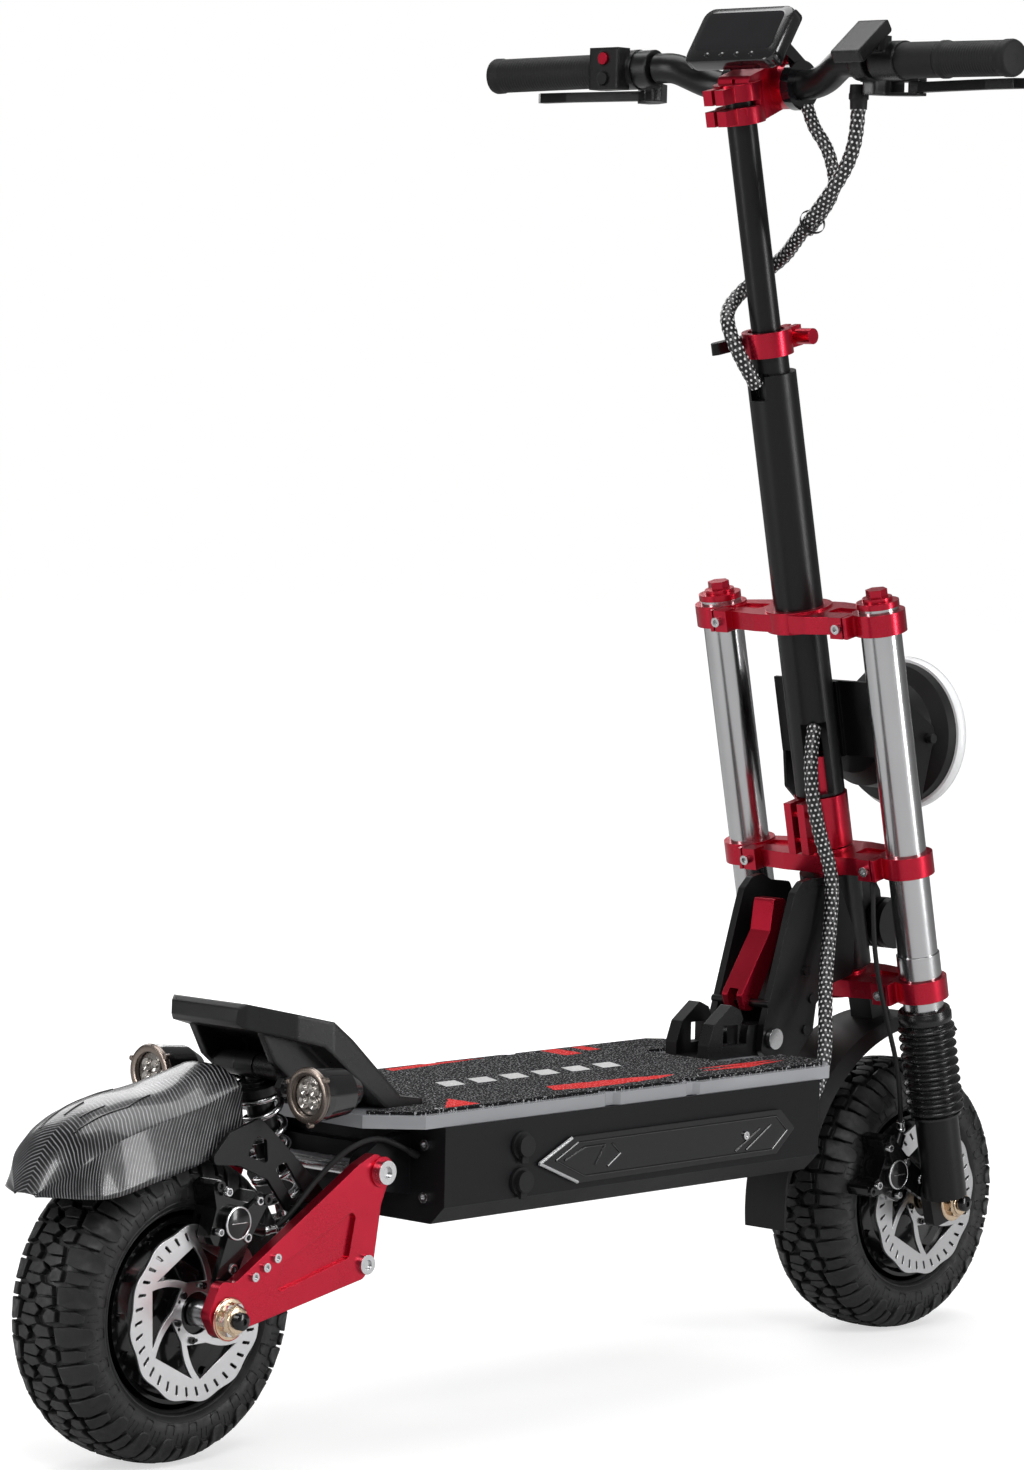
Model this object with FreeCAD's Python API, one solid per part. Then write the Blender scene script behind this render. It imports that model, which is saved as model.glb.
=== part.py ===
import FreeCAD, Part
import math
import os

# Electric kick scooter.  Millimetres, +Z up, +X forward, +Y to the rider's left.
# The model is laid out from the rear axle (x = 0, ground z = 0) and shifted along X on
# export, so that the origin lies on the ground under the middle of the whole scooter.

V = FreeCAD.Vector

# ---- driving dimensions ------------------------------------------------------------
WHEELBASE = 1032.0
TYRE_R = 140.0
TYRE_HALF = 47.5
TYRE_CARCASS_R = 133.0
LUGS = 24
RIM_R = 90.0
HUB_R = 80.0
ROTOR_R = 80.0
ROTOR_Y = -56.0
ROTOR_T = 3.0
AXLE_R = 7.7
AXLE_BORE_R = 8.0
FENDER_TIP_X = -154.0
ORIGIN_X = (WHEELBASE + TYRE_R + FENDER_TIP_X) / 2

DECK_X0, DECK_X1 = 239.0, 770.0
DECK_Z0, DECK_Z1 = 201.0, 291.0
DECK_HALF = 128.0
DECK_CHAMFER = 17.0
DECK_WALL = 4.0
LID_T = 12.0
LID_TOP = DECK_Z1 + LID_T
MAT_T = 3.0
MAT_TOP = LID_TOP + MAT_T

PIVOT = (189.0, 252.0)
LOWER_BOLT = (170.0, 170.0)
ARM_Y0, ARM_Y1 = 86.0, 97.0
SHOCK_EYE = (118.0, 345.0)

FOLD = (804.0, 320.0)
FOLD_PIN_R = 8.0
LATCH = (786.0, 342.0)
NECK_Y0, NECK_Y1 = 29.0, 37.0

RAKE = math.radians(12.62)
STEER_FOOT_X = 1040.5
STANCHION_HALF = 103.0
STANCHION_R = 20.5
CLAMP_S = (376.0, 506.0, 756.0)
CLAMP_T = 22.0
HEAD_S0, HEAD_S1 = 391.0, 491.0
STEM_R = 25.0
STEM_S0, STEM_S1 = 573.0, 1006.0
UPPER_R = 15.0
TELESCOPE_S0, TELESCOPE_S1 = 1024.0, 1049.0
LEG_S0, LEG_S1 = 154.5, 240.0
WHEEL_LOCAL = (22.3, 138.5)

BAR_R = 15.0
BAR_END_Y = 334.0
LAMP_C = (1004.0, 615.0)
LAMP_R = 76.0
MUDGUARD_R = 188.0

EXPORTED = []


# ---- helpers -------------------------------------------------------------------------
def box(x0, x1, y0, y1, z0, z1):
    return Part.makeBox(x1 - x0, y1 - y0, z1 - z0, V(x0, y0, z0))


def rod(p, q, radius):
    p, q = V(*p), V(*q)
    return Part.makeCylinder(radius, (q - p).Length, p, q - p)


def cross_rod(xz, y0, y1, radius):
    return rod((xz[0], y0, xz[1]), (xz[0], y1, xz[1]), radius)


def ring(p, q, r_out, r_in):
    return rod(p, q, r_out).cut(rod(p, q, r_in))


def fuse(shapes):
    return shapes[0].multiFuse(list(shapes[1:])).removeSplitter()


def rounded_wire(points, radius):
    """Closed outline through points, with every corner rounded by the given radius."""
    count = len(points)
    starts, ends, mids = [], [], []
    for i in range(count):
        corner = points[i]
        back = (points[i - 1] - corner)
        ahead = (points[(i + 1) % count] - corner)
        angle = back.getAngle(ahead)
        reach = min(radius / math.tan(angle / 2), 0.45 * back.Length, 0.45 * ahead.Length)
        r = reach * math.tan(angle / 2)
        back.normalize()
        ahead.normalize()
        bisector = (back + ahead)
        bisector.normalize()
        starts.append(corner + back * reach)
        ends.append(corner + ahead * reach)
        mids.append(corner + bisector * (r / math.sin(angle / 2) - r))
    edges = []
    for i in range(count):
        edges.append(Part.Arc(starts[i], mids[i], ends[i]).toShape())
        edges.append(Part.LineSegment(ends[i], starts[(i + 1) % count]).toShape())
    return Part.Wire(edges)


def polygon(points):
    return Part.makePolygon(points + [points[0]])


def plate_xz(outline, y0, y1, radius=0.0):
    """Plate whose outline is given as (x, z) pairs, from y0 to y1."""
    points = [V(x, y0, z) for x, z in outline]
    wire = rounded_wire(points, radius) if radius else polygon(points)
    return Part.Face(wire).extrude(V(0, y1 - y0, 0))


def plate_xy(outline, z0, z1, radius=0.0):
    points = [V(x, y, z0) for x, y in outline]
    wire = rounded_wire(points, radius) if radius else polygon(points)
    return Part.Face(wire).extrude(V(0, 0, z1 - z0))


def plate_yz(outline, x0, x1, radius=0.0):
    points = [V(x0, y, z) for y, z in outline]
    wire = rounded_wire(points, radius) if radius else polygon(points)
    return Part.Face(wire).extrude(V(x1 - x0, 0, 0))


def both_sides(shape):
    return [shape, shape.mirror(V(0, 0, 0), V(0, 1, 0))]


def revolve_y(profile, centre):
    """Solid of revolution about the Y line through centre (x, z); profile is (y, r)."""
    x, z = centre
    points = [V(x, y, z + r) for y, r in profile]
    return Part.Face(polygon(points)).revolve(V(x, 0, z), V(0, 1, 0), 360)


def revolve_x(profile, centre):
    """Solid of revolution about the X line through centre (y, z); profile is (x, r)."""
    y, z = centre
    points = [V(x, y, z + r) for x, r in profile]
    return Part.Face(polygon(points)).revolve(V(0, y, z), V(1, 0, 0), 360)


def steered(shape):
    """Move a shape drawn upright about the Z axis onto the raked steering axis."""
    placement = FreeCAD.Placement(V(STEER_FOOT_X, 0, 0), FreeCAD.Rotation(V(0, 1, 0), -math.degrees(RAKE)))
    return shape.transformed(placement.toMatrix())


def cable(points, radius):
    """Tube along straight runs joined by the largest tangent arcs that the runs allow."""
    points = [V(*p) for p in points]
    edges = []
    last = points[0]
    tightest = 1e9
    for i in range(1, len(points) - 1):
        back = points[i - 1] - points[i]
        ahead = points[i + 1] - points[i]
        angle = back.getAngle(ahead)
        reach = 0.45 * min(back.Length, ahead.Length)
        r = reach * math.tan(angle / 2)
        tightest = min(tightest, r)
        back.normalize()
        ahead.normalize()
        bisector = back + ahead
        bisector.normalize()
        start = points[i] + back * reach
        end = points[i] + ahead * reach
        mid = points[i] + bisector * (r / math.sin(angle / 2) - r)
        edges.append(Part.LineSegment(last, start).toShape())
        edges.append(Part.Arc(start, mid, end).toShape())
        last = end
    edges.append(Part.LineSegment(last, points[-1]).toShape())
    path = Part.Wire(edges)
    profile = Part.Wire(Part.makeCircle(radius, points[0], points[1] - points[0]))
    tube = path.makePipeShell([profile], True, False)
    expected = math.pi * radius * radius * path.Length
    print("cable", "length %.0f" % path.Length, "tightest %.0f" % tightest,
          "fill %.3f" % (tube.Volume / expected))
    return tube


def save(node, shapes):
    """Write one node: a single solid, or a group of separate solids."""
    shapes = shapes if isinstance(shapes, list) else [shapes]
    solids = [solid for shape in shapes for solid in shape.Solids]
    for solid in solids:
        if not solid.isValid():
            print("INVALID", node)
    moved = [solid.translated(V(-ORIGIN_X, 0, 0)) for solid in solids]
    whole = moved[0] if len(moved) == 1 else Part.makeCompound(moved)
    whole.exportStep("parts/" + node + ".step")
    EXPORTED.append(node)


def hexagon(centre, reach):
    """Corners of a flat hexagon, reach from its centre to a corner."""
    turns = [math.radians(60 * i) for i in range(6)]
    return [(centre[0] + reach * math.cos(turn), centre[1] + reach * math.sin(turn)) for turn in turns]


def socket_screw(xz, y, outward, radius=4.5, height=4.0):
    """Socket head cap screw head standing on the plane y, with a hexagon recess."""
    x, z = xz
    tip = y + outward * height
    head = rod((x, y, z), (x, tip, z), radius)
    recess = rod((x, tip - outward * height * 0.5, z), (x, tip + outward, z), radius * 0.5)
    return head.cut(recess)


# ---- wheels --------------------------------------------------------------------------
def tyre(centre):
    half = TYRE_HALF
    carcass = revolve_y([
        (-38, RIM_R - 6), (-39, RIM_R + 2), (-half, 108), (-half + 1.5, 122), (-36, 130),
        (-20, TYRE_CARCASS_R),
        (20, TYRE_CARCASS_R), (36, 130), (half - 1.5, 122), (half, 108), (39, RIM_R + 2), (38, RIM_R - 6)],
        centre)
    lug_length = 24.0
    lug_half = 38.0
    lugs = []
    for i in range(LUGS):
        lug = box(-lug_length / 2, lug_length / 2, -lug_half, lug_half, -TYRE_R, -TYRE_CARCASS_R + 8)
        lug.rotate(V(0, 0, 0), V(0, 1, 0), i * 360.0 / LUGS)
        lugs.append(lug.translated(V(centre[0], 0, centre[1])))
    return fuse([carcass] + lugs)


def hub_motor(centre):
    x, z = centre
    body = revolve_y([
        (-54.5, AXLE_BORE_R), (-54.5, 22), (-42, 22), (-38, 34), (-32, 60), (-31, HUB_R - 4), (-38, HUB_R),
        (-38, RIM_R - 6.3),
        (38, RIM_R - 6.3), (38, HUB_R), (31, HUB_R - 4), (32, 60), (38, 34), (48, 22), (48, AXLE_BORE_R)],
        centre)
    ribs = []
    for i in range(12):
        angle = math.radians(i * 30)
        p = (x + 69 * math.cos(angle), z + 69 * math.sin(angle))
        ribs.append(cross_rod(p, -35, 35, 4.0))
    return fuse([body] + ribs)


def rotor(centre):
    x, z = centre
    y0, y1 = ROTOR_Y - ROTOR_T / 2, ROTOR_Y + ROTOR_T / 2
    disc = cross_rod(centre, y0, y1, ROTOR_R)
    windows = []
    for i in range(6):
        a0 = math.radians(i * 60)
        spoke = []
        for radius, lead in ((30, 0.0), (60, 0.35), (60, 0.35 + 0.72), (32, 0.62)):
            spoke.append((x + radius * math.cos(a0 + lead), z + radius * math.sin(a0 + lead)))
        windows.append(plate_xz(spoke, y0 - 1, y1 + 1, 4.0))
    slots = []
    for i in range(36):
        angle = math.radians(i * 10)
        p = (x + 66 * math.cos(angle), z + 66 * math.sin(angle))
        q = (x + 74 * math.cos(angle + 0.05), z + 74 * math.sin(angle + 0.05))
        across = V(-(q[1] - p[1]), 0, q[0] - p[0])
        across.normalize()
        across = across * 1.3
        corners = [(p[0] + across.x, p[1] + across.z), (q[0] + across.x, q[1] + across.z),
                   (q[0] - across.x, q[1] - across.z), (p[0] - across.x, p[1] - across.z)]
        slots.append(plate_xz(corners, y0 - 1, y1 + 1))
    bore = cross_rod(centre, y0 - 1, y1 + 1, 19)
    return disc.cut(Part.makeCompound(windows + slots + [bore]))


def rotor_bolts(centre):
    x, z = centre
    y0 = ROTOR_Y - ROTOR_T / 2
    heads = []
    for i in range(6):
        angle = math.radians(i * 60 + 15)
        heads.append(socket_screw((x + 24.5 * math.cos(angle), z + 24.5 * math.sin(angle)), y0, -1, 3.2,
                                  2.5))
    return heads


def caliper(centre, angle_deg):
    """Brake caliper that straddles the rotor's rim, angle_deg round from straight ahead."""
    x, z = centre
    y_out, y_in = ROTOR_Y - 22, ROTOR_Y + 7
    adapter = plate_xz([(x + 26, z - 12), (x + 70, z - 20), (x + 110, z - 33), (x + 116, z - 24),
                        (x + 80, z + 6),
                        (x + 26, z + 10)], y_out - 2.7, y_out + 3, 3.0)
    cheek = plate_xz([(x + 60, z - 17), (x + 66, z - 24), (x + 92, z - 24), (x + 110, z - 34),
                      (x + 118, z - 26),
                      (x + 104, z - 12), (x + 104, z + 12), (x + 118, z + 26), (x + 110, z + 34),
                      (x + 92, z + 24),
                      (x + 66, z + 24), (x + 60, z + 17)], y_out + 2, y_in, 3.0)
    slot = box(x, x + ROTOR_R + 4, ROTOR_Y - 3, ROTOR_Y + 3, z - 60, z + 60)
    piston = cross_rod((x + 84, z), y_out - 4, y_out + 4, 15)
    barrel = rod((x + 84, y_out + 8, z - 18), (x + 84, y_out + 8, z - 42), 6)
    body = fuse([cheek.cut(slot), adapter, piston, barrel])
    ears = [
        socket_screw((x + 111, z - 28), y_out - 2.7, -1, 5, 4),
        socket_screw((x + 111, z + 28), y_out + 2, -1, 5, 4),
    ]
    pieces = [body] + ears
    for piece in pieces:
        piece.rotate(V(x, 0, z), V(0, -1, 0), angle_deg)
    return pieces


# ---- deck and everything bolted to it --------------------------------------------------
def deck_shell():
    h, c, w = DECK_HALF, DECK_CHAMFER, DECK_WALL
    outer = plate_yz([(-h, DECK_Z1), (-h, DECK_Z0 + c), (-h + c, DECK_Z0), (h - c, DECK_Z0),
                      (h, DECK_Z0 + c),
                      (h, DECK_Z1)], DECK_X0, DECK_X1)
    i = h - w
    inner = plate_yz([(-i, DECK_Z1 + 1), (-i, DECK_Z0 + c + 2), (-i + c - 2, DECK_Z0 + w),
                      (i - c + 2, DECK_Z0 + w),
                      (i, DECK_Z0 + c + 2), (i, DECK_Z1 + 1)], DECK_X0 + w, DECK_X1 - w)
    lug = plate_xz([(DECK_X0 + 2, 224), (DECK_X0 + 2, 283), (196, 276), (176, 264), (172, 250),
                    (180, 236)], 70, 84, 6)
    beam = box(224, DECK_X0 + 2, -84, 84, 230, 268)
    bore = cross_rod(PIVOT, -90, 90, 8.3)
    return fuse([outer.cut(inner), beam] + both_sides(lug)).cut(bore)


LID_SCREWS = [(x, y) for x in (250, 430, 610, 700) for y in (-108, 108)]


def deck_outline(inset):
    """Right-hand half of the lid's outline, drawn from rear to front, mirrored to close it."""
    edge = 125.0 - inset
    right = [(176 + inset, -84), (216, -edge), (458, -edge), (464, -edge + 5), (474, -edge + 5),
             (480, -edge),
             (574, -edge), (580, -edge + 5), (588, -edge + 5), (594, -edge), (788, -edge),
             (810 - inset, -103)]
    left = [(x, -y) for x, y in reversed(right)]
    return right + left


def deck_lid():
    slab = plate_xy(deck_outline(0), DECK_Z1, LID_TOP)
    notch = box(786, 830, -46, 46, DECK_Z1 - 1, LID_TOP + 1)
    return slab.cut(notch)


def deck_mat():
    slab = plate_xy(deck_outline(9), LID_TOP, MAT_TOP)
    notch = box(712, 830, -52, 52, LID_TOP - 1, MAT_TOP + 1)
    step = box(160, 268, -80, 80, LID_TOP - 1, MAT_TOP + 1)
    holes = [rod((x, y, LID_TOP - 1), (x, y, MAT_TOP + 1), 5.4) for x, y in LID_SCREWS]
    return slab.cut(Part.makeCompound([notch, step] + holes))


def power_pack():
    """Battery block and the two motor controllers beside it."""
    battery = box(250, 600, -105, 105, DECK_Z0 + 6, DECK_Z1 - 8)
    controllers = [box(612, 755, side * 54 - 50, side * 54 + 50, DECK_Z0 + 6,
                       DECK_Z1 - 28) for side in (-1, 1)]
    return [battery] + controllers


def side_badges():
    outline = [(361, 247), (406, 268), (707, 268), (729, 248), (702, 225), (416, 224)]
    badge = plate_xz(outline, -DECK_HALF - 3.5, -DECK_HALF, 2.0)
    return both_sides(badge)


def charge_ports():
    """Two charging sockets under round rubber caps on the right-hand side."""
    caps = []
    for centre in ((340, 266), (339, 233)):
        flange = cross_rod(centre, -DECK_HALF - 3, -DECK_HALF, 13)
        cap = cross_rod(centre, -DECK_HALF - 9, -DECK_HALF - 3, 10)
        tab = box(centre[0] - 4, centre[0] + 4, -DECK_HALF - 6, -DECK_HALF - 3, centre[1] - 16,
                  centre[1] - 8)
        caps.append(fuse([flange, cap, tab]))
    return caps


def footrest():
    """Raised rear footrest: a bent plate on two webs, open underneath."""
    profile = [(268, LID_TOP), (222, LID_TOP), (214, 308), (160, 350), (140, 366), (62, 386), (56, 392),
               (57, 404),
               (64, 408), (150, 388), (174, 370), (236, 314), (268, 309)]
    blank = plate_xz(profile, -90, 90)
    plan = plate_xy([(54, -40), (64, -47), (112, -64), (150, -72), (268, -74), (268, 74), (150, 72),
                     (112, 64), (64, 47),
                     (54, 40)], 290, 420, 6)
    pad = blank.common(plan)
    web = plate_xz([(222, LID_TOP), (214, 309), (160, 351), (140, 367), (84, 381), (100, 352), (128, 330),
                    (160, 320),
                    (176, LID_TOP)], 40, 48)
    webs = both_sides(web)
    cross = box(150, 158, -40, 40, 322, 358)
    boss = cross_rod(SHOCK_EYE, -40, 40, 11)
    eye_gap = box(90, 149.9, -11.3, 11.3, 300, 362)
    eye_pin = cross_rod(SHOCK_EYE, -12, 12, 4)
    return fuse([fuse([pad, cross, boss] + webs).cut(eye_gap), eye_pin])


def turn_signals():
    """Bullet indicators: housing, bezel ring and lens as one group, a stalk and nut for each."""
    x, y, z = 100.0, 102.0, 330.0
    shell = revolve_x([(x + 52, 0.01), (x + 46, 12), (x + 30, 21), (x, 24), (x - 8, 24), (x - 8, 20),
                       (x - 2, 19),
                       (x - 2, 0.01)], (y, z))
    bezel = revolve_x([(x - 8, 24.5), (x - 8, 19.5), (x - 13, 18.5), (x - 14, 21), (x - 12, 25.5)], (y, z))
    lens = revolve_x([(x - 2.2, 0.01), (x - 2.2, 18.4), (x - 8, 17.6), (x - 8, 0.01)], (y, z))
    stalk = rod((x + 8, y - 20, z + 1), (x + 8, 48.2, z + 1), 6.5)
    nut = plate_xz(hexagon((x + 8, z + 1), 10), 49, 56)
    housing = fuse([shell, stalk, nut])
    return [piece for part in (housing, bezel, lens) for piece in both_sides(part)]


def fold_base():
    """Black cast base on the deck nose that carries the fold pin and the latch hook."""
    block = plate_xz([(718, LID_TOP), (718, 318), (726, 338), (752, 356), (766, 350), (774, 334),
                      (812, 334), (819, 326),
                      (819, 312), (808, LID_TOP)], -28, 28, 2)
    window = box(740, 762, -40, 40, 316, 336)
    throat = box(700, 800, -14, 14, LID_TOP + 2.5, 360)
    pin_bore = cross_rod(FOLD, -60, 60, FOLD_PIN_R)
    sweep = cross_rod(FOLD, -60, 60, 40).cut(cross_rod(FOLD, -61, 61, 28.5))
    sweep = sweep.common(box(760, 815, -61, 61, 316, 370))
    return block.cut(Part.makeCompound([window, throat])).cut(pin_bore).cut(sweep)


def fold_pin():
    pin = cross_rod(FOLD, -42, 42, FOLD_PIN_R - 0.3)
    heads = both_sides(cross_rod(FOLD, 38, 43, 10.5))
    return fuse([pin] + heads)


def deck_bolts():
    """Lid screws, rear-face screws and the badge screws."""
    bolts = []
    for x, y in LID_SCREWS:
        head = rod((x, y, LID_TOP), (x, y, LID_TOP + 2.6), 4.5)
        bolts.append(head.cut(rod((x, y, LID_TOP + 1), (x, y, MAT_TOP), 2.0)))
    for y in (-105, 105):
        for z in (225, 273):
            head = rod((DECK_X0 - 4, y, z), (DECK_X0, y, z), 5)
            bolts.append(head.cut(rod((DECK_X0 - 5, y, z), (DECK_X0 - 2, y, z), 2.5)))
    for side in (-1, 1):
        bolts.append(socket_screw((655, 247), side * (DECK_HALF + 3.5), side, 4, 2))
    return bolts


# ---- rear suspension -------------------------------------------------------------------
def swingarms():
    outline = [(-9, 174), (8, 171), (160, 261), (182, 270), (203, 254), (189, 222), (181, 172), (168, 157),
               (14, 128),
               (-11, 123), (-24, 144)]
    arm = plate_xz(outline, ARM_Y0, ARM_Y1, 9)
    pocket = plate_xz([(58, 156), (66, 181), (152, 219), (157, 215), (149, 178)], ARM_Y1 - 4, ARM_Y1 + 1, 4)
    eye = cross_rod((0, 140), ARM_Y1 - 1, ARM_Y1 + 3, 19)
    pivot_boss = cross_rod(PIVOT, ARM_Y1 - 1, ARM_Y1 + 2, 14)
    axle_hole = cross_rod((0, 140), ARM_Y0 - 1, ARM_Y1 + 5, AXLE_BORE_R)
    pivot_hole = cross_rod(PIVOT, ARM_Y0 - 1, ARM_Y1 + 5, AXLE_BORE_R)
    low_hole = cross_rod(LOWER_BOLT, ARM_Y0 - 1, ARM_Y1 + 5, 6.3)
    cutters = Part.makeCompound([pocket, axle_hole, pivot_hole, low_hole])
    return both_sides(fuse([arm, eye, pivot_boss]).cut(cutters))


def swingarm_bolts():
    """Wheel axle with its nuts, the pivot bolt, the lower cross bolt and three screws a side."""
    axle = rod((0, -108, 140), (0, 108, 140), AXLE_R)
    nuts = both_sides(plate_xz(hexagon((0, 140), 16), ARM_Y1 + 3, ARM_Y1 + 9))
    spacer = ring((0, -85.7, 140), (0, -56.5, 140), 12, AXLE_R - 0.1)
    spacers = [spacer, ring((0, 48.5, 140), (0, 85.7, 140), 12, AXLE_R - 0.1)]
    pivot = cross_rod(PIVOT, -ARM_Y1 - 3, ARM_Y1 + 3, AXLE_R)
    pivot_heads = [socket_screw(PIVOT, side * (ARM_Y1 + 2), side, 11, 6) for side in (-1, 1)]
    lower = cross_rod(LOWER_BOLT, -ARM_Y1, ARM_Y1, 6)
    lower_heads = [socket_screw(LOWER_BOLT, side * ARM_Y1, side, 9, 4) for side in (-1, 1)]
    small = []
    for spot in ((30, 174), (44, 181), (57, 188)):
        for side in (-1, 1):
            small.append(socket_screw(spot, side * ARM_Y1, side, 4.2, 3.5))
    return [fuse([axle] + nuts + spacers), fuse([pivot] + pivot_heads), fuse([lower] + lower_heads)] + small


def fender_section(x, crown, shoulder, hem, shoulder_half, hem_half, inset):
    """One cross-section of the mudguard as a closed (y, z) outline at station x."""
    low = hem - (30 if inset else 0)
    points = [(-hem_half + inset, low), (-shoulder_half + inset, shoulder - inset),
              (-shoulder_half * 0.45, crown - inset),
              (shoulder_half * 0.45, crown - inset), (shoulder_half - inset, shoulder - inset),
              (hem_half - inset, low)]
    return polygon([V(x, y, z) for y, z in points])


def fender_block(inset):
    stations = [
        (FENDER_TIP_X, 264, 260, 252, 24, 28),
        (-128, 298, 280, 253, 44, 54),
        (-98, 318, 298, 253, 52, 60),
        (-55, 330, 310, 262, 55, 62),
        (0, 338, 321, 273, 55, 60),
        (58, 352, 336, 292, 50, 54)]
    if inset:
        stations[0] = (FENDER_TIP_X - 2,) + stations[0][1:]
        stations[-1] = (60,) + stations[-1][1:]
    wires = [fender_section(x, c, s, h, sh, hh, inset) for x, c, s, h, sh, hh in stations]
    return Part.makeLoft(wires, True, True)


def fender_screws():
    """Shanks of the screws that hold the mudguard between its side plates."""
    shanks = []
    for x, z in ((24, 288), (46, 296)):
        shanks += both_sides(rod((x, 48, z), (x, 62, z), 2.5))
    return shanks


def fender():
    """Rear mudguard: a 3 mm shell with sloping shoulders and a pointed tail."""
    return fender_block(0).cut(fender_block(3)).cut(Part.makeCompound(fender_screws()))


def fender_brackets():
    """Pierced side plates that carry the mudguard on the swingarms."""
    outline = [(2, 272), (28, 298), (66, 308), (92, 286), (140, 242), (152, 228), (124, 208), (100, 222),
               (76, 252), (40, 268)]
    plate = plate_xz(outline, 62, 66, 6)
    holes = [plate_xz([(84, 262), (98, 266), (122, 236), (108, 230)], 60, 80, 3),
             plate_xz([(50, 276), (62, 292), (74, 288), (76, 266)], 60, 80, 3)]
    foot = box(104, 128, 65, 85.8, 208, 226)
    plate = fuse([plate.cut(Part.makeCompound(holes)), foot])
    sides = both_sides(plate)
    shanks = fender_screws()
    return [fuse([sides[0]] + shanks[0::2]), fuse([sides[1]] + shanks[1::2])]


SHOCK_AXIS = V(SHOCK_EYE[0] - LOWER_BOLT[0], 0, SHOCK_EYE[1] - LOWER_BOLT[1])
SHOCK_LENGTH = SHOCK_AXIS.Length


def shock_point(distance):
    """Point on the damper's axis, measured down from its upper eye."""
    k = 1 - distance / SHOCK_LENGTH
    return (LOWER_BOLT[0] + SHOCK_AXIS.x * k, 0, LOWER_BOLT[1] + SHOCK_AXIS.z * k)


def shock_body():
    eye = cross_rod(SHOCK_EYE, -10.8, 10.8, 12)
    can = rod(shock_point(14), shock_point(92), 13)
    neck_in = rod(shock_point(6), shock_point(16), 8)
    cap = rod(shock_point(18), shock_point(26), 23)
    bore = rod(shock_point(60), shock_point(93), 5.4)
    eye_bore = cross_rod(SHOCK_EYE, -20, 20, 4.3)
    return fuse([eye, neck_in, can, cap]).cut(bore).cut(eye_bore)


def shock_rod():
    eye = cross_rod(LOWER_BOLT, -12, 12, 13)
    shaft = rod(shock_point(SHOCK_LENGTH - 8), shock_point(68), 5)
    seat = rod(shock_point(SHOCK_LENGTH - 14), shock_point(SHOCK_LENGTH - 24), 23)
    return fuse([eye, shaft, seat]).cut(cross_rod(LOWER_BOLT, -20, 20, 7.2))


def coil_spring(p, q, radius, wire, turns):
    """Helical spring from p to q."""
    length = (V(*q) - V(*p)).Length
    helix = Part.makeHelix((length - 2 * wire) / turns, length - 2 * wire, radius)
    profile = Part.Wire(Part.makeCircle(wire, V(radius, 0, 0), V(0, 1, 0)))
    coil = Part.Wire(helix).makePipeShell([profile], True, True)
    coil.translate(V(0, 0, wire))
    turn = FreeCAD.Rotation(V(0, 0, 1), V(*q) - V(*p))
    return coil.transformed(FreeCAD.Placement(V(*p), turn).toMatrix())


def shock_spring():
    return coil_spring(shock_point(SHOCK_LENGTH - 24.4), shock_point(26.4), 18.5, 3.4, 7)


# ---- neck, fold and latch --------------------------------------------------------------
def neck():
    """Two folding side plates welded to the head tube."""
    outline = [(788, 308), (792, 334), (826, 440), (834, 463), (846, 474), (862, 477), (876, 470),
               (905, 467), (930, 420),
               (930, 376), (897, 369), (872, 350), (868, 322), (842, 298), (800, 298)]
    plates = both_sides(plate_xz(outline, NECK_Y0, NECK_Y1, 6))
    tube = steered(rod((0, 0, HEAD_S0), (0, 0, HEAD_S1), 31))
    bore = steered(rod((0, 0, HEAD_S0 - 1), (0, 0, HEAD_S1 + 1), 18))
    back = plate_xz([(852, 392), (844, 400), (862, 440), (872, 440)], -NECK_Y1, NECK_Y1)
    floor = plate_xz([(842, 300), (868, 324), (872, 348), (862, 348), (834, 306)], -NECK_Y1, NECK_Y1)
    pin_bore = cross_rod(FOLD, -60, 60, FOLD_PIN_R)
    bolts = []
    for spot in ((854, 384), (864, 356), (855, 325)):
        for side in (-1, 1):
            bolts.append(cross_rod(spot, side * NECK_Y1, side * (NECK_Y1 + 3), 5))
    latch_pin = cross_rod((LATCH[0] + 14, LATCH[1] + 12), -NECK_Y1, NECK_Y1, 4)
    return fuse(plates + [tube, back, floor] + bolts + [latch_pin]).cut(bore).cut(pin_bore)


def latch_lever():
    """Red over-centre lever: forked foot on the latch pin, long blade up the back of the neck."""
    px, pz = LATCH[0] + 14, LATCH[1] + 12
    side = plate_xz([(px - 10, pz - 8), (px - 16, pz + 8), (826, 424), (831, 456), (849, 456), (846, 421),
                     (px + 9, pz + 2),
                     (px + 2, pz - 8)], -13, 13, 4)
    fork = box(px - 30, px + 13, -6, 6, pz - 20, pz + 14)
    bore = cross_rod((px, pz), -20, 20, 4.3)
    return side.cut(fork).cut(bore)


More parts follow.
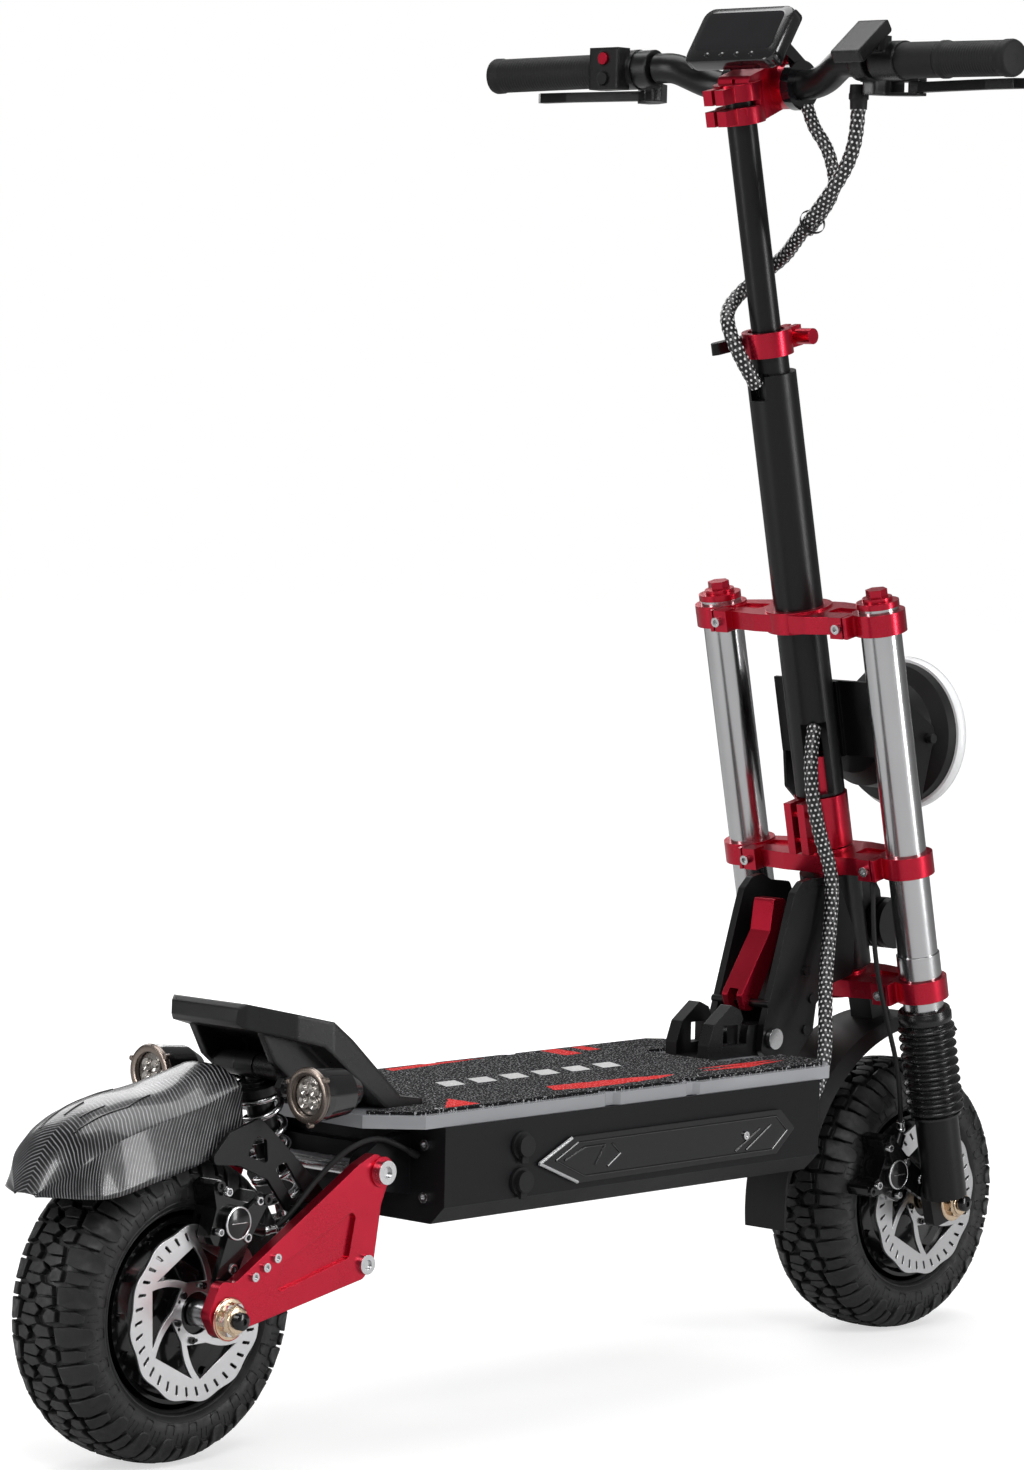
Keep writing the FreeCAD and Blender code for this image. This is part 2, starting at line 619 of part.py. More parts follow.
# ---- steering head ---------------------------------------------------------------------
def clamp_plate(s, stem_r, waist):
    """One fork yoke: two round stanchion eyes, a round centre eye and tapering arms."""
    z0, z1 = s - CLAMP_T / 2, s + CLAMP_T / 2
    eyes = [rod((0, side * STANCHION_HALF, z0), (0, side * STANCHION_HALF, z1),
                STANCHION_R + 6) for side in (-1, 1)]
    centre = rod((0, 0, z0), (0, 0, z1), stem_r + 9)
    arms = plate_xy([(-22, -STANCHION_HALF), (-waist, -34), (-waist, 34), (-22, STANCHION_HALF),
                     (18, STANCHION_HALF),
                     (waist, 34), (waist, -34), (18, -STANCHION_HALF)], z0 + 2, z1 - 2)
    lugs = []
    for side in (-1, 1):
        lugs.append(box(-36, -20, side * 78 - 11, side * 78 + 11, z0, z1))
    plate = fuse(eyes + [centre, arms] + lugs)
    cuts = [rod((0, side * STANCHION_HALF, z0 - 1), (0, side * STANCHION_HALF, z1 + 1),
                STANCHION_R) for side in (-1, 1)]
    cuts.append(rod((0, 0, z0 - 1), (0, 0, z1 + 1), stem_r))
    cuts += [box(-40, -18, side * 84 - 1, side * 84 + 1, z0 - 1, z1 + 1) for side in (-1, 1)]
    cuts += both_sides(plate_xy([(-10, 44), (-8, 76), (8, 76), (10, 44)], z1 - 5, z1, 3))
    return plate.cut(Part.makeCompound(cuts))


def fork_yokes():
    """Three red yokes and the steerer tube pressed into the lower two."""
    low, mid, high = CLAMP_S
    steerer = ring((0, 0, low - 14), (0, 0, STEM_S0 + 40), 17, 13)
    nut = ring((0, 0, low - 14), (0, 0, low - 11.2), 24, 17.1)
    shapes = [clamp_plate(low, 17, 30), clamp_plate(mid, 17, 30), clamp_plate(high, STEM_R, 32),
              fuse([steerer, nut])]
    return [steered(shape) for shape in shapes]


def stanchions():
    tubes = []
    for side in (-1, 1):
        y = side * STANCHION_HALF
        tube = rod((0, y, 322), (0, y, 771), STANCHION_R)
        collar = rod((0, y, 388), (0, y, 412), STANCHION_R + 1.5)
        inner = rod((0, y, 200), (0, y, 322), 12)
        bore = rod((0, y, 335), (0, y, 772), STANCHION_R - 4)
        tubes.append(steered(fuse([tube, collar, inner]).cut(bore)))
    return tubes


def stanchion_caps():
    caps = []
    for side in (-1, 1):
        y = side * STANCHION_HALF
        flange = rod((0, y, 771), (0, y, 777), STANCHION_R + 1)
        step = rod((0, y, 777), (0, y, 781), 15)
        nut = plate_xy(hexagon((0, y), 11), 781, 789)
        caps.append(steered(fuse([flange, step, nut])))
    return caps


def stem_collar():
    """Red split collar that clamps the stem tube to the steerer."""
    s0, s1 = 519, STEM_S0 - 1
    body = rod((0, 0, s0), (0, 0, s1), 27)
    lugs = box(-44, -16, -13, 13, s0, s1)
    cutters = [rod((0, 0, s0 - 1), (0, 0, s1 + 1), 17), box(-50, 0, -4, 4, s0 - 1, s1 + 1)]
    collar = fuse([body, lugs]).cut(Part.makeCompound(cutters))
    screws = []
    for s in (s0 + 13, s1 - 13):
        screws.append(rod((-36, -17, s), (-36, 17, s), 3.6))
    collar = collar.cut(Part.makeCompound(screws))
    return [steered(shape) for shape in [collar] + screws]


def lower_stem():
    """Main stem tube with its necked top sleeve and the slot where the wiring leaves."""
    body = rod((0, 0, STEM_S0), (0, 0, STEM_S1), STEM_R)
    sleeve = rod((0, 0, STEM_S1), (0, 0, TELESCOPE_S1 - 2), 19)
    bore = rod((0, 0, STEM_S0 + 60), (0, 0, TELESCOPE_S1), UPPER_R + 0.4)
    foot = rod((0, 0, STEM_S0 - 1), (0, 0, STEM_S0 + 60), 17)
    window = box(-31, -7, -29, -5, STEM_S0 + 3, STEM_S0 + 77)
    mouth = box(-34, -14, -10, 10, STEM_S1 - 24, STEM_S1 + 2)
    return steered(fuse([body, sleeve]).cut(Part.makeCompound([bore, foot, window, mouth])))


def telescope_clamp():
    """Red band clamp of the telescoping stem, with its skewer and the round knob on it."""
    s0, s1 = TELESCOPE_S0, TELESCOPE_S1
    body = rod((0, 0, s0), (0, 0, s1), 25)
    ears = box(8, 42, -10, 10, s0 + 2, s1 - 2)
    cutters = [rod((0, 0, s0 - 1), (0, 0, s1 + 1), 19), box(0, 50, -2.5, 2.5, s0 - 1, s1 + 1),
               rod((33, -20, s0 + 12.5), (33, 20, s0 + 12.5), 3)]
    band = fuse([body, ears]).cut(Part.makeCompound(cutters))
    skewer = rod((33, -30, s0 + 12.5), (33, 10.6, s0 + 12.5), 3)
    knob = rod((33, -32, s0 + 12.5), (33, -10, s0 + 12.5), 8)
    return [steered(band), steered(fuse([skewer, knob]))]


def quick_release():
    """Cam lever that pulls the telescope clamp's skewer tight."""
    s = TELESCOPE_S0 + 12.5
    cam = rod((33, 19, s - 6.5), (33, 19, s + 6.5), 8)
    blade = plate_xy([(36, 12), (40, 22), (24, 33), (-34, 43), (-42, 39), (-36, 34), (16, 25)], s - 6,
                     s + 6, 3)
    return steered(fuse([cam, blade]))


def headlight_bracket():
    """Black side plates from the stem to the lamp's pivots, with the cross strap behind."""
    x, z = LAMP_C
    plate = plate_xz([(926, 668), (950, 666), (x + 8, z + 12), (x + 12, z), (x + 6, z - 12), (994, 545),
                      (962, 541),
                      (938, 560)], 63, 66.5, 5)
    hole = cross_rod(LAMP_C, 50, 80, 5.2)
    plates = both_sides(plate.cut(hole))
    band = steered(box(26, 30, -66.5, 66.5, 606, 684))
    stem_space = steered(rod((0, 0, 590), (0, 0, 700), STEM_R))
    saddle = steered(box(STEM_R - 3, 27, -18, 18, 606, 684)).cut(stem_space)
    return fuse(plates + [band, saddle])


def horn():
    """Finned electric horn on a pierced strap in front of the head tube."""
    drum = rod((58, -30, 420), (58, 30, 420), 26)
    for i in range(5):
        y = -22 + i * 11
        drum = drum.cut(ring((58, y, 420), (58, y + 5, 420), 30, 19))
    strap = plate_xz([(34, 404), (34, 492.5), (27, 492.5), (27, 497), (44, 497), (66, 452), (66, 436),
                      (44, 436), (44, 404)],
                     -8, 8)
    return steered(fuse([drum, strap]))


def front_mudguard():
    """Front mudguard: arc over the back of the wheel ending in a tapered flap."""
    centre = (WHEELBASE, 140)
    x, z = centre
    outer, inner, half = MUDGUARD_R, MUDGUARD_R - 3, 46.0
    shell = revolve_y([(-half, outer - 9), (-half + 12, outer), (half - 12, outer), (half, outer - 9),
                       (half - 2, outer - 11),
                       (half - 13, inner), (-half + 13, inner), (-half + 2, outer - 11)], centre)
    wedge = []
    for degrees in (70, 95, 120, 150, 178, 186):
        angle = math.radians(degrees)
        wedge.append((x + 300 * math.cos(angle), z + 300 * math.sin(angle)))
    sector = plate_xz([(x, z)] + wedge, -60, 60)
    taper = plate_xy([(700, -26), (x - 184, -26), (x - 150, -60), (x + 200, -60), (x + 200, 60),
                      (x - 150, 60), (x - 184, 26),
                      (700, 26)], 100, 400)
    arc = shell.common(sector).common(taper)
    post = steered(box(27, 39, -40, 40, CLAMP_S[0] - 30, CLAMP_S[0] - 9.1))
    foot = plate_xz([(984, 352), (1010, 352), (1022, 323.5), (992, 322.5)], -14, 14)
    return fuse([arc, foot, post])


def clamp_screws():
    """Pinch screws of the three yokes and of the telescope clamp."""
    screws = []
    for s in CLAMP_S:
        for side in (-1, 1):
            y = side * 78
            head = rod((-36, y, s), (-41, y, s), 5)
            screws.append(steered(head.cut(rod((-38.5, y, s), (-42, y, s), 2.6))))
    return screws


# ---- fork lowers and front wheel hardware ------------------------------------------------
def fork_legs():
    x, s = WHEEL_LOCAL
    legs = []
    for side in (-1, 1):
        y = side * STANCHION_HALF
        leg = rod((0, y, LEG_S0), (0, y, LEG_S1), 22)
        plate = plate_xz([(-12, 122), (-14, 160), (6, 190), (20, 176), (x + 18, s + 6), (x + 14, s - 14),
                          (x - 6, s - 17)],
                         side * 88 - 6, side * 88 + 6, 6)
        boss = cross_rod(WHEEL_LOCAL, side * 82, side * 95, 17)
        bore = rod((0, y, 158), (0, y, LEG_S1 + 1), 12.4)
        hole = cross_rod(WHEEL_LOCAL, -120, 120, AXLE_BORE_R)
        legs.append(steered(fuse([leg, plate, boss]).cut(bore).cut(hole)))
    return legs


def front_axle():
    centre = (WHEELBASE, 140)
    x, z = centre
    axle = cross_rod(centre, -106, 106, AXLE_R)
    nuts = both_sides(plate_xz(hexagon(centre, 15), 95, 101))
    spacers = [
        ring((x, -81.7, z), (x, -56.5, z), 12, AXLE_R - 0.1),
        ring((x, 48.5, z), (x, 81.7, z), 12, AXLE_R - 0.1),
    ]
    return fuse([axle] + nuts + spacers)


def fork_bellows():
    """Pleated rubber gaiters between the lower yoke and the fork legs."""
    gaiters = []
    s0, s1, pleats = LEG_S1 + 0.3, 354.0, 10
    step = (s1 - 14 - s0) / pleats
    for side in (-1, 1):
        profile = [(24.5, s0)]
        for i in range(pleats):
            base = s0 + i * step
            profile += [(29, base + 0.35 * step), (29, base + 0.65 * step), (24.5, base + step)]
        profile += [(27, s1 - 12), (27, s1), (21, s1), (21, s0)]
        points = [V(r, 0, s) for r, s in profile]
        gaiter = Part.Face(polygon(points)).revolve(V(0, 0, 0), V(0, 0, 1), 360)
        gaiters.append(steered(gaiter.translated(V(0, side * STANCHION_HALF, 0))))
    return gaiters


def headlight_housing():
    x, z = 965.0, LAMP_C[1]
    bowl = revolve_x([(x, 0.01), (x, 38), (x + 16, 52), (x + 58, 57), (x + 66, 72), (x + 78, LAMP_R - 2),
                      (x + 78, 0.01)], (0, z))
    pods = both_sides(cross_rod(LAMP_C, 52, 62.7, 13))
    pins = both_sides(cross_rod(LAMP_C, 60, 74, 5))
    return fuse([bowl] + pods + pins)


def headlight_ring():
    x, z = 1043.3, LAMP_C[1]
    return revolve_x([(x, 0.01), (x, LAMP_R), (x + 3, LAMP_R + 3), (x + 9, LAMP_R + 1),
                      (x + 11, LAMP_R - 10),
                      (x + 6, LAMP_R - 16), (x + 8, 0.01)], (0, z))


# ---- cockpit ---------------------------------------------------------------------------
BAR_ROUTE = [(767, -BAR_END_Y, 1280), (788, -108, 1284), (806, -66, 1264), (806, 66, 1264), (788, 108, 1284),
             (767, BAR_END_Y, 1280)]
BAR_C = (806.0, 1264.0)
LEVER_Z = 1259.5
LEVER_PIVOT = (822.0, 172.0)


def bar_point(y):
    """Centre of the handlebar's straight outer run at the given y."""
    k = (abs(y) - 108) / (BAR_END_Y - 108)
    return (788 - 21 * k, y, 1284 - 4 * k)


def on_bar(y0, y1, r_out, r_in=0.0):
    outer = rod(bar_point(y0), bar_point(y1), r_out)
    return outer.cut(rod(bar_point(y0), bar_point(y1), r_in)) if r_in else outer


def upper_tube():
    return steered(ring((0, 0, 850), (0, 0, 1290), UPPER_R, UPPER_R - 2))


def stem_head():
    """Red head that joins the telescoping tube to the handlebar."""
    post = steered(rod((0, 0, 1256), (0, 0, 1296), 24))
    neck_block = plate_xz([(748, 1232), (752, 1270), (792, 1286), (812, 1280), (812, 1244), (770, 1226)],
                          -20, 20, 5)
    cradle = cross_rod(BAR_C, -33, 33, 23)
    lugs = steered(box(-38, -18, -13, 13, 1258, 1294))
    bar_bore = cross_rod(BAR_C, -60, 60, BAR_R)
    slot = steered(box(-40, 0, -2, 2, 1250, 1300))
    waist = steered(box(-40, 4, -30, 30, 1273, 1279))
    bore = steered(rod((0, 0, 1200), (0, 0, 1290), UPPER_R))
    body = fuse([post, neck_block, cradle, lugs]).cut(Part.makeCompound([bar_bore, slot, waist, bore]))
    knobs = [rod((800, y, 1285), (798, y, 1293), 6) for y in (-22, 22)]
    return fuse([body] + knobs)


def handlebar():
    middle = cable([bar_point(-128)] + BAR_ROUTE[1:-1] + [bar_point(128)], BAR_R)
    ends = [on_bar(side * 127, side * (BAR_END_Y - 2), 11.1) for side in (-1, 1)]
    return fuse([middle] + ends)


def display():
    """Ring clamps on the bar, two arms and the flat screen they hold."""
    rings = both_sides(ring((BAR_C[0], 34, BAR_C[1]), (BAR_C[0], 44, BAR_C[1]), 24.5, BAR_R))
    arm = plate_xz([(796, 1284), (770, 1298), (776, 1310), (812, 1287)], 35, 43)
    case = plate_xz([(743, 1286), (776, 1337), (789, 1329), (756, 1278)], -56, 56, 4)
    return fuse(rings + both_sides(arm) + [case])


def grips():
    left = on_bar(196, BAR_END_Y, 17, 11.1)
    right = on_bar(-242, -BAR_END_Y, 17, 11.1)
    return [left, right]


def switch_pod():
    """Switch pod on the left of the bar, with two bored pockets for its buttons."""
    barrel = on_bar(151, 194, 20, 11.1)
    x, y, z = bar_point(172)
    face = box(x - 30, x - 12, y - 19, y + 19, z - 21, z + 21)
    pockets = [rod((x - 31, y, z + dz), (x - 25, y, z + dz), 6.3) for dz in (-10, 10)]
    return fuse([barrel, face]).cut(Part.makeCompound(pockets)).cut(on_bar(150, 195, 11.1))


def pod_button(dz):
    x, y, z = bar_point(172)
    return rod((x - 32.5, y, z + dz), (x - 27, y, z + dz), 6.0)


def voltage_meter():
    """Throttle housing on the right of the bar with its small tilted voltage display."""
    collar = on_bar(-159, -192, 19, 11.1)
    screen = plate_xz([(722, 1288), (766, 1322), (774, 1311), (730, 1277)], -180, -146, 3)
    foot = box(756, 776, -178, -161, 1290, 1306)
    return fuse([collar, screen, foot]).cut(on_bar(-158, -193, 11.1))


def throttle_sleeve():
    return on_bar(-192.6, -241.4, 17.5, 11.5)


def lever_perches():
    perches = []
    px, py = LEVER_PIVOT
    for side in (-1, 1):
        ring_part = on_bar(side * 132, side * 150, 19, 11.1)
        reach = plate_xy([(786, 134), (796, 132), (px - 4, py - 28), (px + 9, py - 6), (px + 9, py + 8),
                          (px - 8, py + 9),
                          (px - 16, py - 10), (802, 151), (788, 149)], LEVER_Z - 8, LEVER_Z + 10, 3)
        fork = box(px - 30, px + 14, py - 16, py + 12, LEVER_Z - 5.2, LEVER_Z + 5.2)
        bore = rod((px, py, LEVER_Z - 9), (px, py, LEVER_Z + 11), 3.2)
        reach = reach.cut(fork)
        link = box(784, 796, 134, 149, LEVER_Z + 4, 1274)
        if side < 0:
            reach = reach.mirror(V(0, 0, 0), V(0, 1, 0))
            bore = bore.mirror(V(0, 0, 0), V(0, 1, 0))
            link = link.mirror(V(0, 0, 0), V(0, 1, 0))
        pin = rod((px, side * py, LEVER_Z - 8), (px, side * py, LEVER_Z + 10), 3.0)
        perch = fuse([ring_part, reach, link]).cut(on_bar(side * 131, side * 151, 11.1))
        perches.append(fuse([perch, pin]))
    return perches


def brake_lever(side):
    """Brake lever blade with a curled tip, turning on its perch's pin."""
    px, py = LEVER_PIVOT
    blade = plate_xy([(px - 7, py - 5), (px - 7, py + 8), (px - 10, 210), (px - 17, 270), (px - 18, 305),
                      (px - 12, 314),
                      (px - 3, 312), (px - 5, 270), (px + 2, 212), (px + 7, py + 8), (px + 7, py - 5)],
                     LEVER_Z - 4.8, LEVER_Z + 4.8, 3)
    blade = blade.cut(rod((px, py, LEVER_Z - 9), (px, py, LEVER_Z + 9), 3.3))
    return blade.mirror(V(0, 0, 0), V(0, 1, 0)) if side < 0 else blade


# ---- wiring ----------------------------------------------------------------------------
LOOM_R = 7.5
CABLE_R = 2.5
UPPER_LOOM = [(797, -122, 1256), (797, -122, 1222), (797, -114, 1190), (795, -94, 1160), (799, -66, 1134),
              (813, -34, 1112),
              (829, -6, 1096), (828, 24, 1078), (811, 38, 1058), (790, 34, 1042), (776, 20, 1026),
              (776, 8, 1004),
              (786, 2, 984), (799, 0, 968)]
LOWER_LOOM = [(882, -17, 628), (870, -23, 600), (867, -28, 564), (875, -33, 520), (883, -46, 480),
              (875, -50, 428),
              (858, -60, 375), (842, -74, 338), (829, -86, 306), (813, -91, 276), (793, -92, 257),
              (770.2, -92, 257)]
REAR_CABLE = [(66, -70, 207), (79, -75, 209), (96, -79, 224), (121, -80, 248), (151, -87, 274),
              (186, -92, 284),
              (214, -93, 274), (238, -94, 262)]
FRONT_CABLE = [(905, -80, 475), (896, -88, 428), (905, -89, 380), (918, -92, 334), (936, -92, 290),
               (952, -85, 250), (966, -74.5, 227), (972.4, -70.3, 215.0)]


# ---- write every node ------------------------------------------------------------------
REAR = (0.0, 140.0)
FRONT = (WHEELBASE, 140.0)

os.makedirs("parts", exist_ok=True)

save("deck_shell", deck_shell())
save("deck_lid", deck_lid())
save("deck_mat", deck_mat())
save("power_pack", power_pack())
save("side_badges", side_badges())
save("charge_ports", charge_ports())
save("footrest", footrest())
save("turn_signals", turn_signals())
save("fold_base", fold_base())
save("fold_pin", fold_pin())
save("deck_bolts", deck_bolts())

save("swingarms", swingarms())
save("swingarm_bolts", swingarm_bolts())
save("rear_fender", fender())
save("fender_brackets", fender_brackets())
save("shock_body", shock_body())
save("shock_rod", shock_rod())
save("shock_spring", shock_spring())

for name, centre, angle in (("rear", REAR, 73), ("front", FRONT, 156)):
    save(name + "_tyre", tyre(centre))
    save(name + "_hub_motor", [hub_motor(centre)] + rotor_bolts(centre))
    save(name + "_rotor", rotor(centre))
    save(name + "_caliper", caliper(centre, angle))

save("neck", neck())
save("latch_lever", latch_lever())

save("fork_yokes", fork_yokes() + stanchion_caps())
save("stanchions", stanchions())
save("stem_collar", stem_collar())
save("lower_stem", lower_stem())
save("telescope_clamp", telescope_clamp())
save("quick_release", quick_release())
save("headlight_bracket", headlight_bracket())
save("horn", horn())
save("front_mudguard", front_mudguard())
save("clamp_screws", clamp_screws())
save("fork_legs", fork_legs())
save("front_axle", front_axle())
save("fork_bellows", fork_bellows())
save("headlight_housing", headlight_housing())
save("headlight_ring", headlight_ring())

save("upper_tube", upper_tube())
save("stem_head", stem_head())
save("handlebar", handlebar())
save("display", display())
save("grips", grips())
save("switch_pod", switch_pod())
save("horn_button", pod_button(10))
save("light_button", pod_button(-10))
save("voltage_meter", voltage_meter())
save("throttle_sleeve", throttle_sleeve())
save("lever_perches", lever_perches())
save("brake_lever_left", brake_lever(1))
save("brake_lever_right", brake_lever(-1))

save("upper_loom", cable(UPPER_LOOM, LOOM_R))
save("lower_loom", cable(LOWER_LOOM, LOOM_R))
save("rear_cable", cable(REAR_CABLE, CABLE_R))
save("front_cable", cable(FRONT_CABLE, CABLE_R))

print(len(EXPORTED), "nodes")
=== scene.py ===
"""Looks of the off-road electric kick scooter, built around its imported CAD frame. Metres, row frame."""

import math
import random

import bmesh
import bpy
from mathutils import Matrix, Vector

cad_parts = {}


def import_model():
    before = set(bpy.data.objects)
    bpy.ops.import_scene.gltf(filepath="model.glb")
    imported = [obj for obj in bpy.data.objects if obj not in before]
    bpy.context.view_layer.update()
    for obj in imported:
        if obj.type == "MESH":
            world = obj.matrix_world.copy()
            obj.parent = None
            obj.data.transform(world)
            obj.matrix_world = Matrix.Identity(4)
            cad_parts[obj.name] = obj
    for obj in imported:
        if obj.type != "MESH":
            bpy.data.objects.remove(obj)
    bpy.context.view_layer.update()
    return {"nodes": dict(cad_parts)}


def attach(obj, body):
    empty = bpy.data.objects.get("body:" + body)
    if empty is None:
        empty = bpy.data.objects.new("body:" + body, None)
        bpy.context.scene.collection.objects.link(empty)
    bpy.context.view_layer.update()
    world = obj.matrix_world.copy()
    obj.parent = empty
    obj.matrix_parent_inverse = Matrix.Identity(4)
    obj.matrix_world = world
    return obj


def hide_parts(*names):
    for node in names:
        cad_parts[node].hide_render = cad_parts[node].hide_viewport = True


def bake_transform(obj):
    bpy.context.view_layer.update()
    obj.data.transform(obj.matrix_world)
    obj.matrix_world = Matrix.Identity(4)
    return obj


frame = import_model()
NODES = frame["nodes"]
SHIFT = 0.509  # the rear axle stands this far behind the row frame's origin
RAKE = math.radians(12.62)
STEER_FOOT = 1.0405 - SHIFT  # where the steering axis meets the ground
AXLE_Z = 0.140  # height of both axles
REAR_X = -SHIFT
FRONT_X = 1.032 - SHIFT


def world(x, y, z):
    """A point given in millimetres from the rear axle, in the row frame."""
    return Vector((x / 1000 - SHIFT, y / 1000, z / 1000))


def steered(x, y, s):
    """A point of the steering assembly: x ahead of its axis, y across, s up the axis, in millimetres."""
    x, y, s = x / 1000, y / 1000, s / 1000
    ahead = STEER_FOOT + x * math.cos(RAKE) - s * math.sin(RAKE)
    return Vector((ahead, y, x * math.sin(RAKE) + s * math.cos(RAKE)))


# ---------------------------------------------------------------- camera, light and floor


def make_camera():
    """The camera, at the reference view's place, direction, slight roll and field of view."""
    place = Vector((-3.6094, -3.2938, 0.9486))
    forward = Vector((0.73187, 0.67833, -0.06517)).normalized()
    roll = math.radians(1.29)
    flat_right = forward.cross(Vector((0, 0, 1))).normalized()
    flat_up = flat_right.cross(forward)
    right = flat_right * math.cos(roll) + flat_up * math.sin(roll)
    up = flat_up * math.cos(roll) - flat_right * math.sin(roll)
    data = bpy.data.cameras.new("camera")
    data.sensor_fit = "VERTICAL"
    data.sensor_height = 36
    data.lens = 125.56
    data.clip_end = 60
    camera = bpy.data.objects.new("camera", data)
    camera.matrix_world = Matrix(
        (
            (right.x, up.x, -forward.x, place.x),
            (right.y, up.y, -forward.y, place.y),
            (right.z, up.z, -forward.z, place.z),
            (0, 0, 0, 1),
        )
    )
    bpy.context.scene.collection.objects.link(camera)
    bpy.context.scene.camera = camera


def area_light(name, place, aim, size, power, shade=(1, 1, 1)):
    """A rectangular soft light at place, turned towards aim."""
    data = bpy.data.lights.new(name, "AREA")
    data.shape = "RECTANGLE"
    data.size, data.size_y = size
    data.energy = power
    data.color = shade
    lamp = bpy.data.objects.new(name, data)
    lamp.location = place
    lamp.rotation_euler = (Vector(aim) - Vector(place)).to_track_quat("-Z", "Y").to_euler()
    bpy.context.scene.collection.objects.link(lamp)


def make_light():
    """Five soft lights, and a world that is white to the camera and dim as a light."""
    area_light("key_softbox", (-2.2, -2.6, 3.4), (0, 0, 0.45), (2.2, 1.6), 85)
    area_light("top_softbox", (0.6, 0.4, 3.6), (0, 0, 0.4), (3.0, 2.0), 70)
    area_light("rear_strip", (-3.2, 1.4, 1.3), (-0.2, 0, 0.5), (0.5, 2.4), 45)
    area_light("side_strip", (1.6, -3.4, 1.2), (0.2, 0, 0.5), (0.7, 2.4), 60)
    area_light("far_fill", (1.8, 3.4, 2.2), (0, 0, 0.5), (2.6, 1.8), 40)
    sky = bpy.data.worlds.new("studio")
    bpy.context.scene.world = sky
    sky.use_nodes = True
    tree = sky.node_tree
    ground = tree.nodes["Background"]
    ground.inputs["Color"].default_value = (1, 1, 1, 1)
    seen = tree.nodes.new("ShaderNodeLightPath").outputs["Is Camera Ray"]
    tree.links.new(ramp(tree, seen, 0.16, 1.0), ground.inputs["Strength"])
    bpy.context.scene.view_settings.view_transform = "Standard"


def make_floor():
    """A pale floor that glows to white further out, so that no horizon shows."""
    data = bpy.data.meshes.new("floor")
    form = bmesh.new()
    reach = 14
    corners = [form.verts.new((x * reach, y * reach, 0)) for x, y in ((-1, -1), (1, -1), (1, 1), (-1, 1))]
    form.faces.new(corners)
    form.to_mesh(data)
    form.free()
    floor = bpy.data.objects.new("floor", data)
    bpy.context.scene.collection.objects.link(floor)
    paint, shader, tree = new_material("studio_floor")
    shader.inputs["Base Color"].default_value = (0.55, 0.55, 0.55, 1)
    shader.inputs["Roughness"].default_value = 0.8
    shader.inputs["Emission Color"].default_value = (1, 1, 1, 1)
    far = put(tree, "ShaderNodeVectorMath")
    far.operation = "LENGTH"
    tree.links.new(object_place(tree), far.inputs[0])
    seen = tree.nodes.new("ShaderNodeLightPath").outputs["Is Camera Ray"]
    glow = ramp(tree, far.outputs["Value"], 0.6, 1.0, 1.2, 3.6)
    glow = maths(tree, "MULTIPLY", glow, ramp(tree, seen, 0.12, 1.0))
    tree.links.new(glow, shader.inputs["Emission Strength"])
    data.materials.append(paint)


# ---------------------------------------------------------------- materials


def new_material(name):
    """A node material, with its shader and its node tree."""
    material = bpy.data.materials.new(name)
    material.use_nodes = True
    tree = material.node_tree
    return material, tree.nodes["Principled BSDF"], tree


def put(tree, kind, **values):
    """A new node with its sockets set: a name gives the socket, an underscore standing for a space."""
    made = tree.nodes.new(kind)
    for key, value in values.items():
        made.inputs[key.replace("_", " ")].default_value = value
    return made


def object_place(tree, stretch=(1, 1, 1)):
    """The point on the object, optionally stretched, as a vector socket."""
    place = tree.nodes.new("ShaderNodeTexCoord").outputs["Object"]
    if stretch == (1, 1, 1):
        return place
    mapping = put(tree, "ShaderNodeMapping", Scale=stretch)
    tree.links.new(place, mapping.inputs["Vector"])
    return mapping.outputs["Vector"]


def uv_axes(tree):
    """The U and V sockets of the surface's own map."""
    axes = tree.nodes.new("ShaderNodeSeparateXYZ")
    tree.links.new(tree.nodes.new("ShaderNodeTexCoord").outputs["UV"], axes.inputs["Vector"])
    return axes.outputs["X"], axes.outputs["Y"]


def noise(tree, place, scale, detail=3.0, rough=0.55):
    """A noise value at place."""
    made = put(tree, "ShaderNodeTexNoise", Scale=scale, Detail=detail, Roughness=rough)
    tree.links.new(place, made.inputs["Vector"])
    return made.outputs["Fac"]


def ramp(tree, source, low, high, start=0.0, end=1.0):
    """A value remapped from start..end to low..high, clamped."""
    made = put(tree, "ShaderNodeMapRange", From_Min=start, From_Max=end, To_Min=low, To_Max=high)
    tree.links.new(source, made.inputs["Value"])
    return made.outputs["Result"]


def maths(tree, operation, first, second=0.5):
    """One Math node. Each operand is a number or a socket."""
    made = tree.nodes.new("ShaderNodeMath")
    made.operation = operation
    for slot, value in ((0, first), (1, second)):
        if isinstance(value, (int, float)):
            made.inputs[slot].default_value = value
        else:
            tree.links.new(value, made.inputs[slot])
    return made.outputs[0]


def mix(tree, factor, first, second):
    """The colour first where factor is 0 and second where it is 1. Each is a colour or a socket."""
    made = tree.nodes.new("ShaderNodeMix")
    made.data_type = "RGBA"
    tree.links.new(factor, made.inputs[0])
    for slot, value in ((6, first), (7, second)):
        if isinstance(value, tuple):
            made.inputs[slot].default_value = (*value, 1)
        else:
            tree.links.new(value, made.inputs[slot])
    return made.outputs[2]


def bump(tree, shader, height, depth, strength=1.0, edge=0.0):
    """Raises the surface by height times depth metres, and rounds its edges by edge metres."""
    made = put(tree, "ShaderNodeBump", Strength=strength, Distance=depth)
    tree.links.new(height, made.inputs["Height"])
    if edge:
        rounder = put(tree, "ShaderNodeBevel", Radius=edge)
        rounder.samples = 4
        tree.links.new(rounder.outputs["Normal"], made.inputs["Normal"])
    tree.links.new(made.outputs["Normal"], shader.inputs["Normal"])


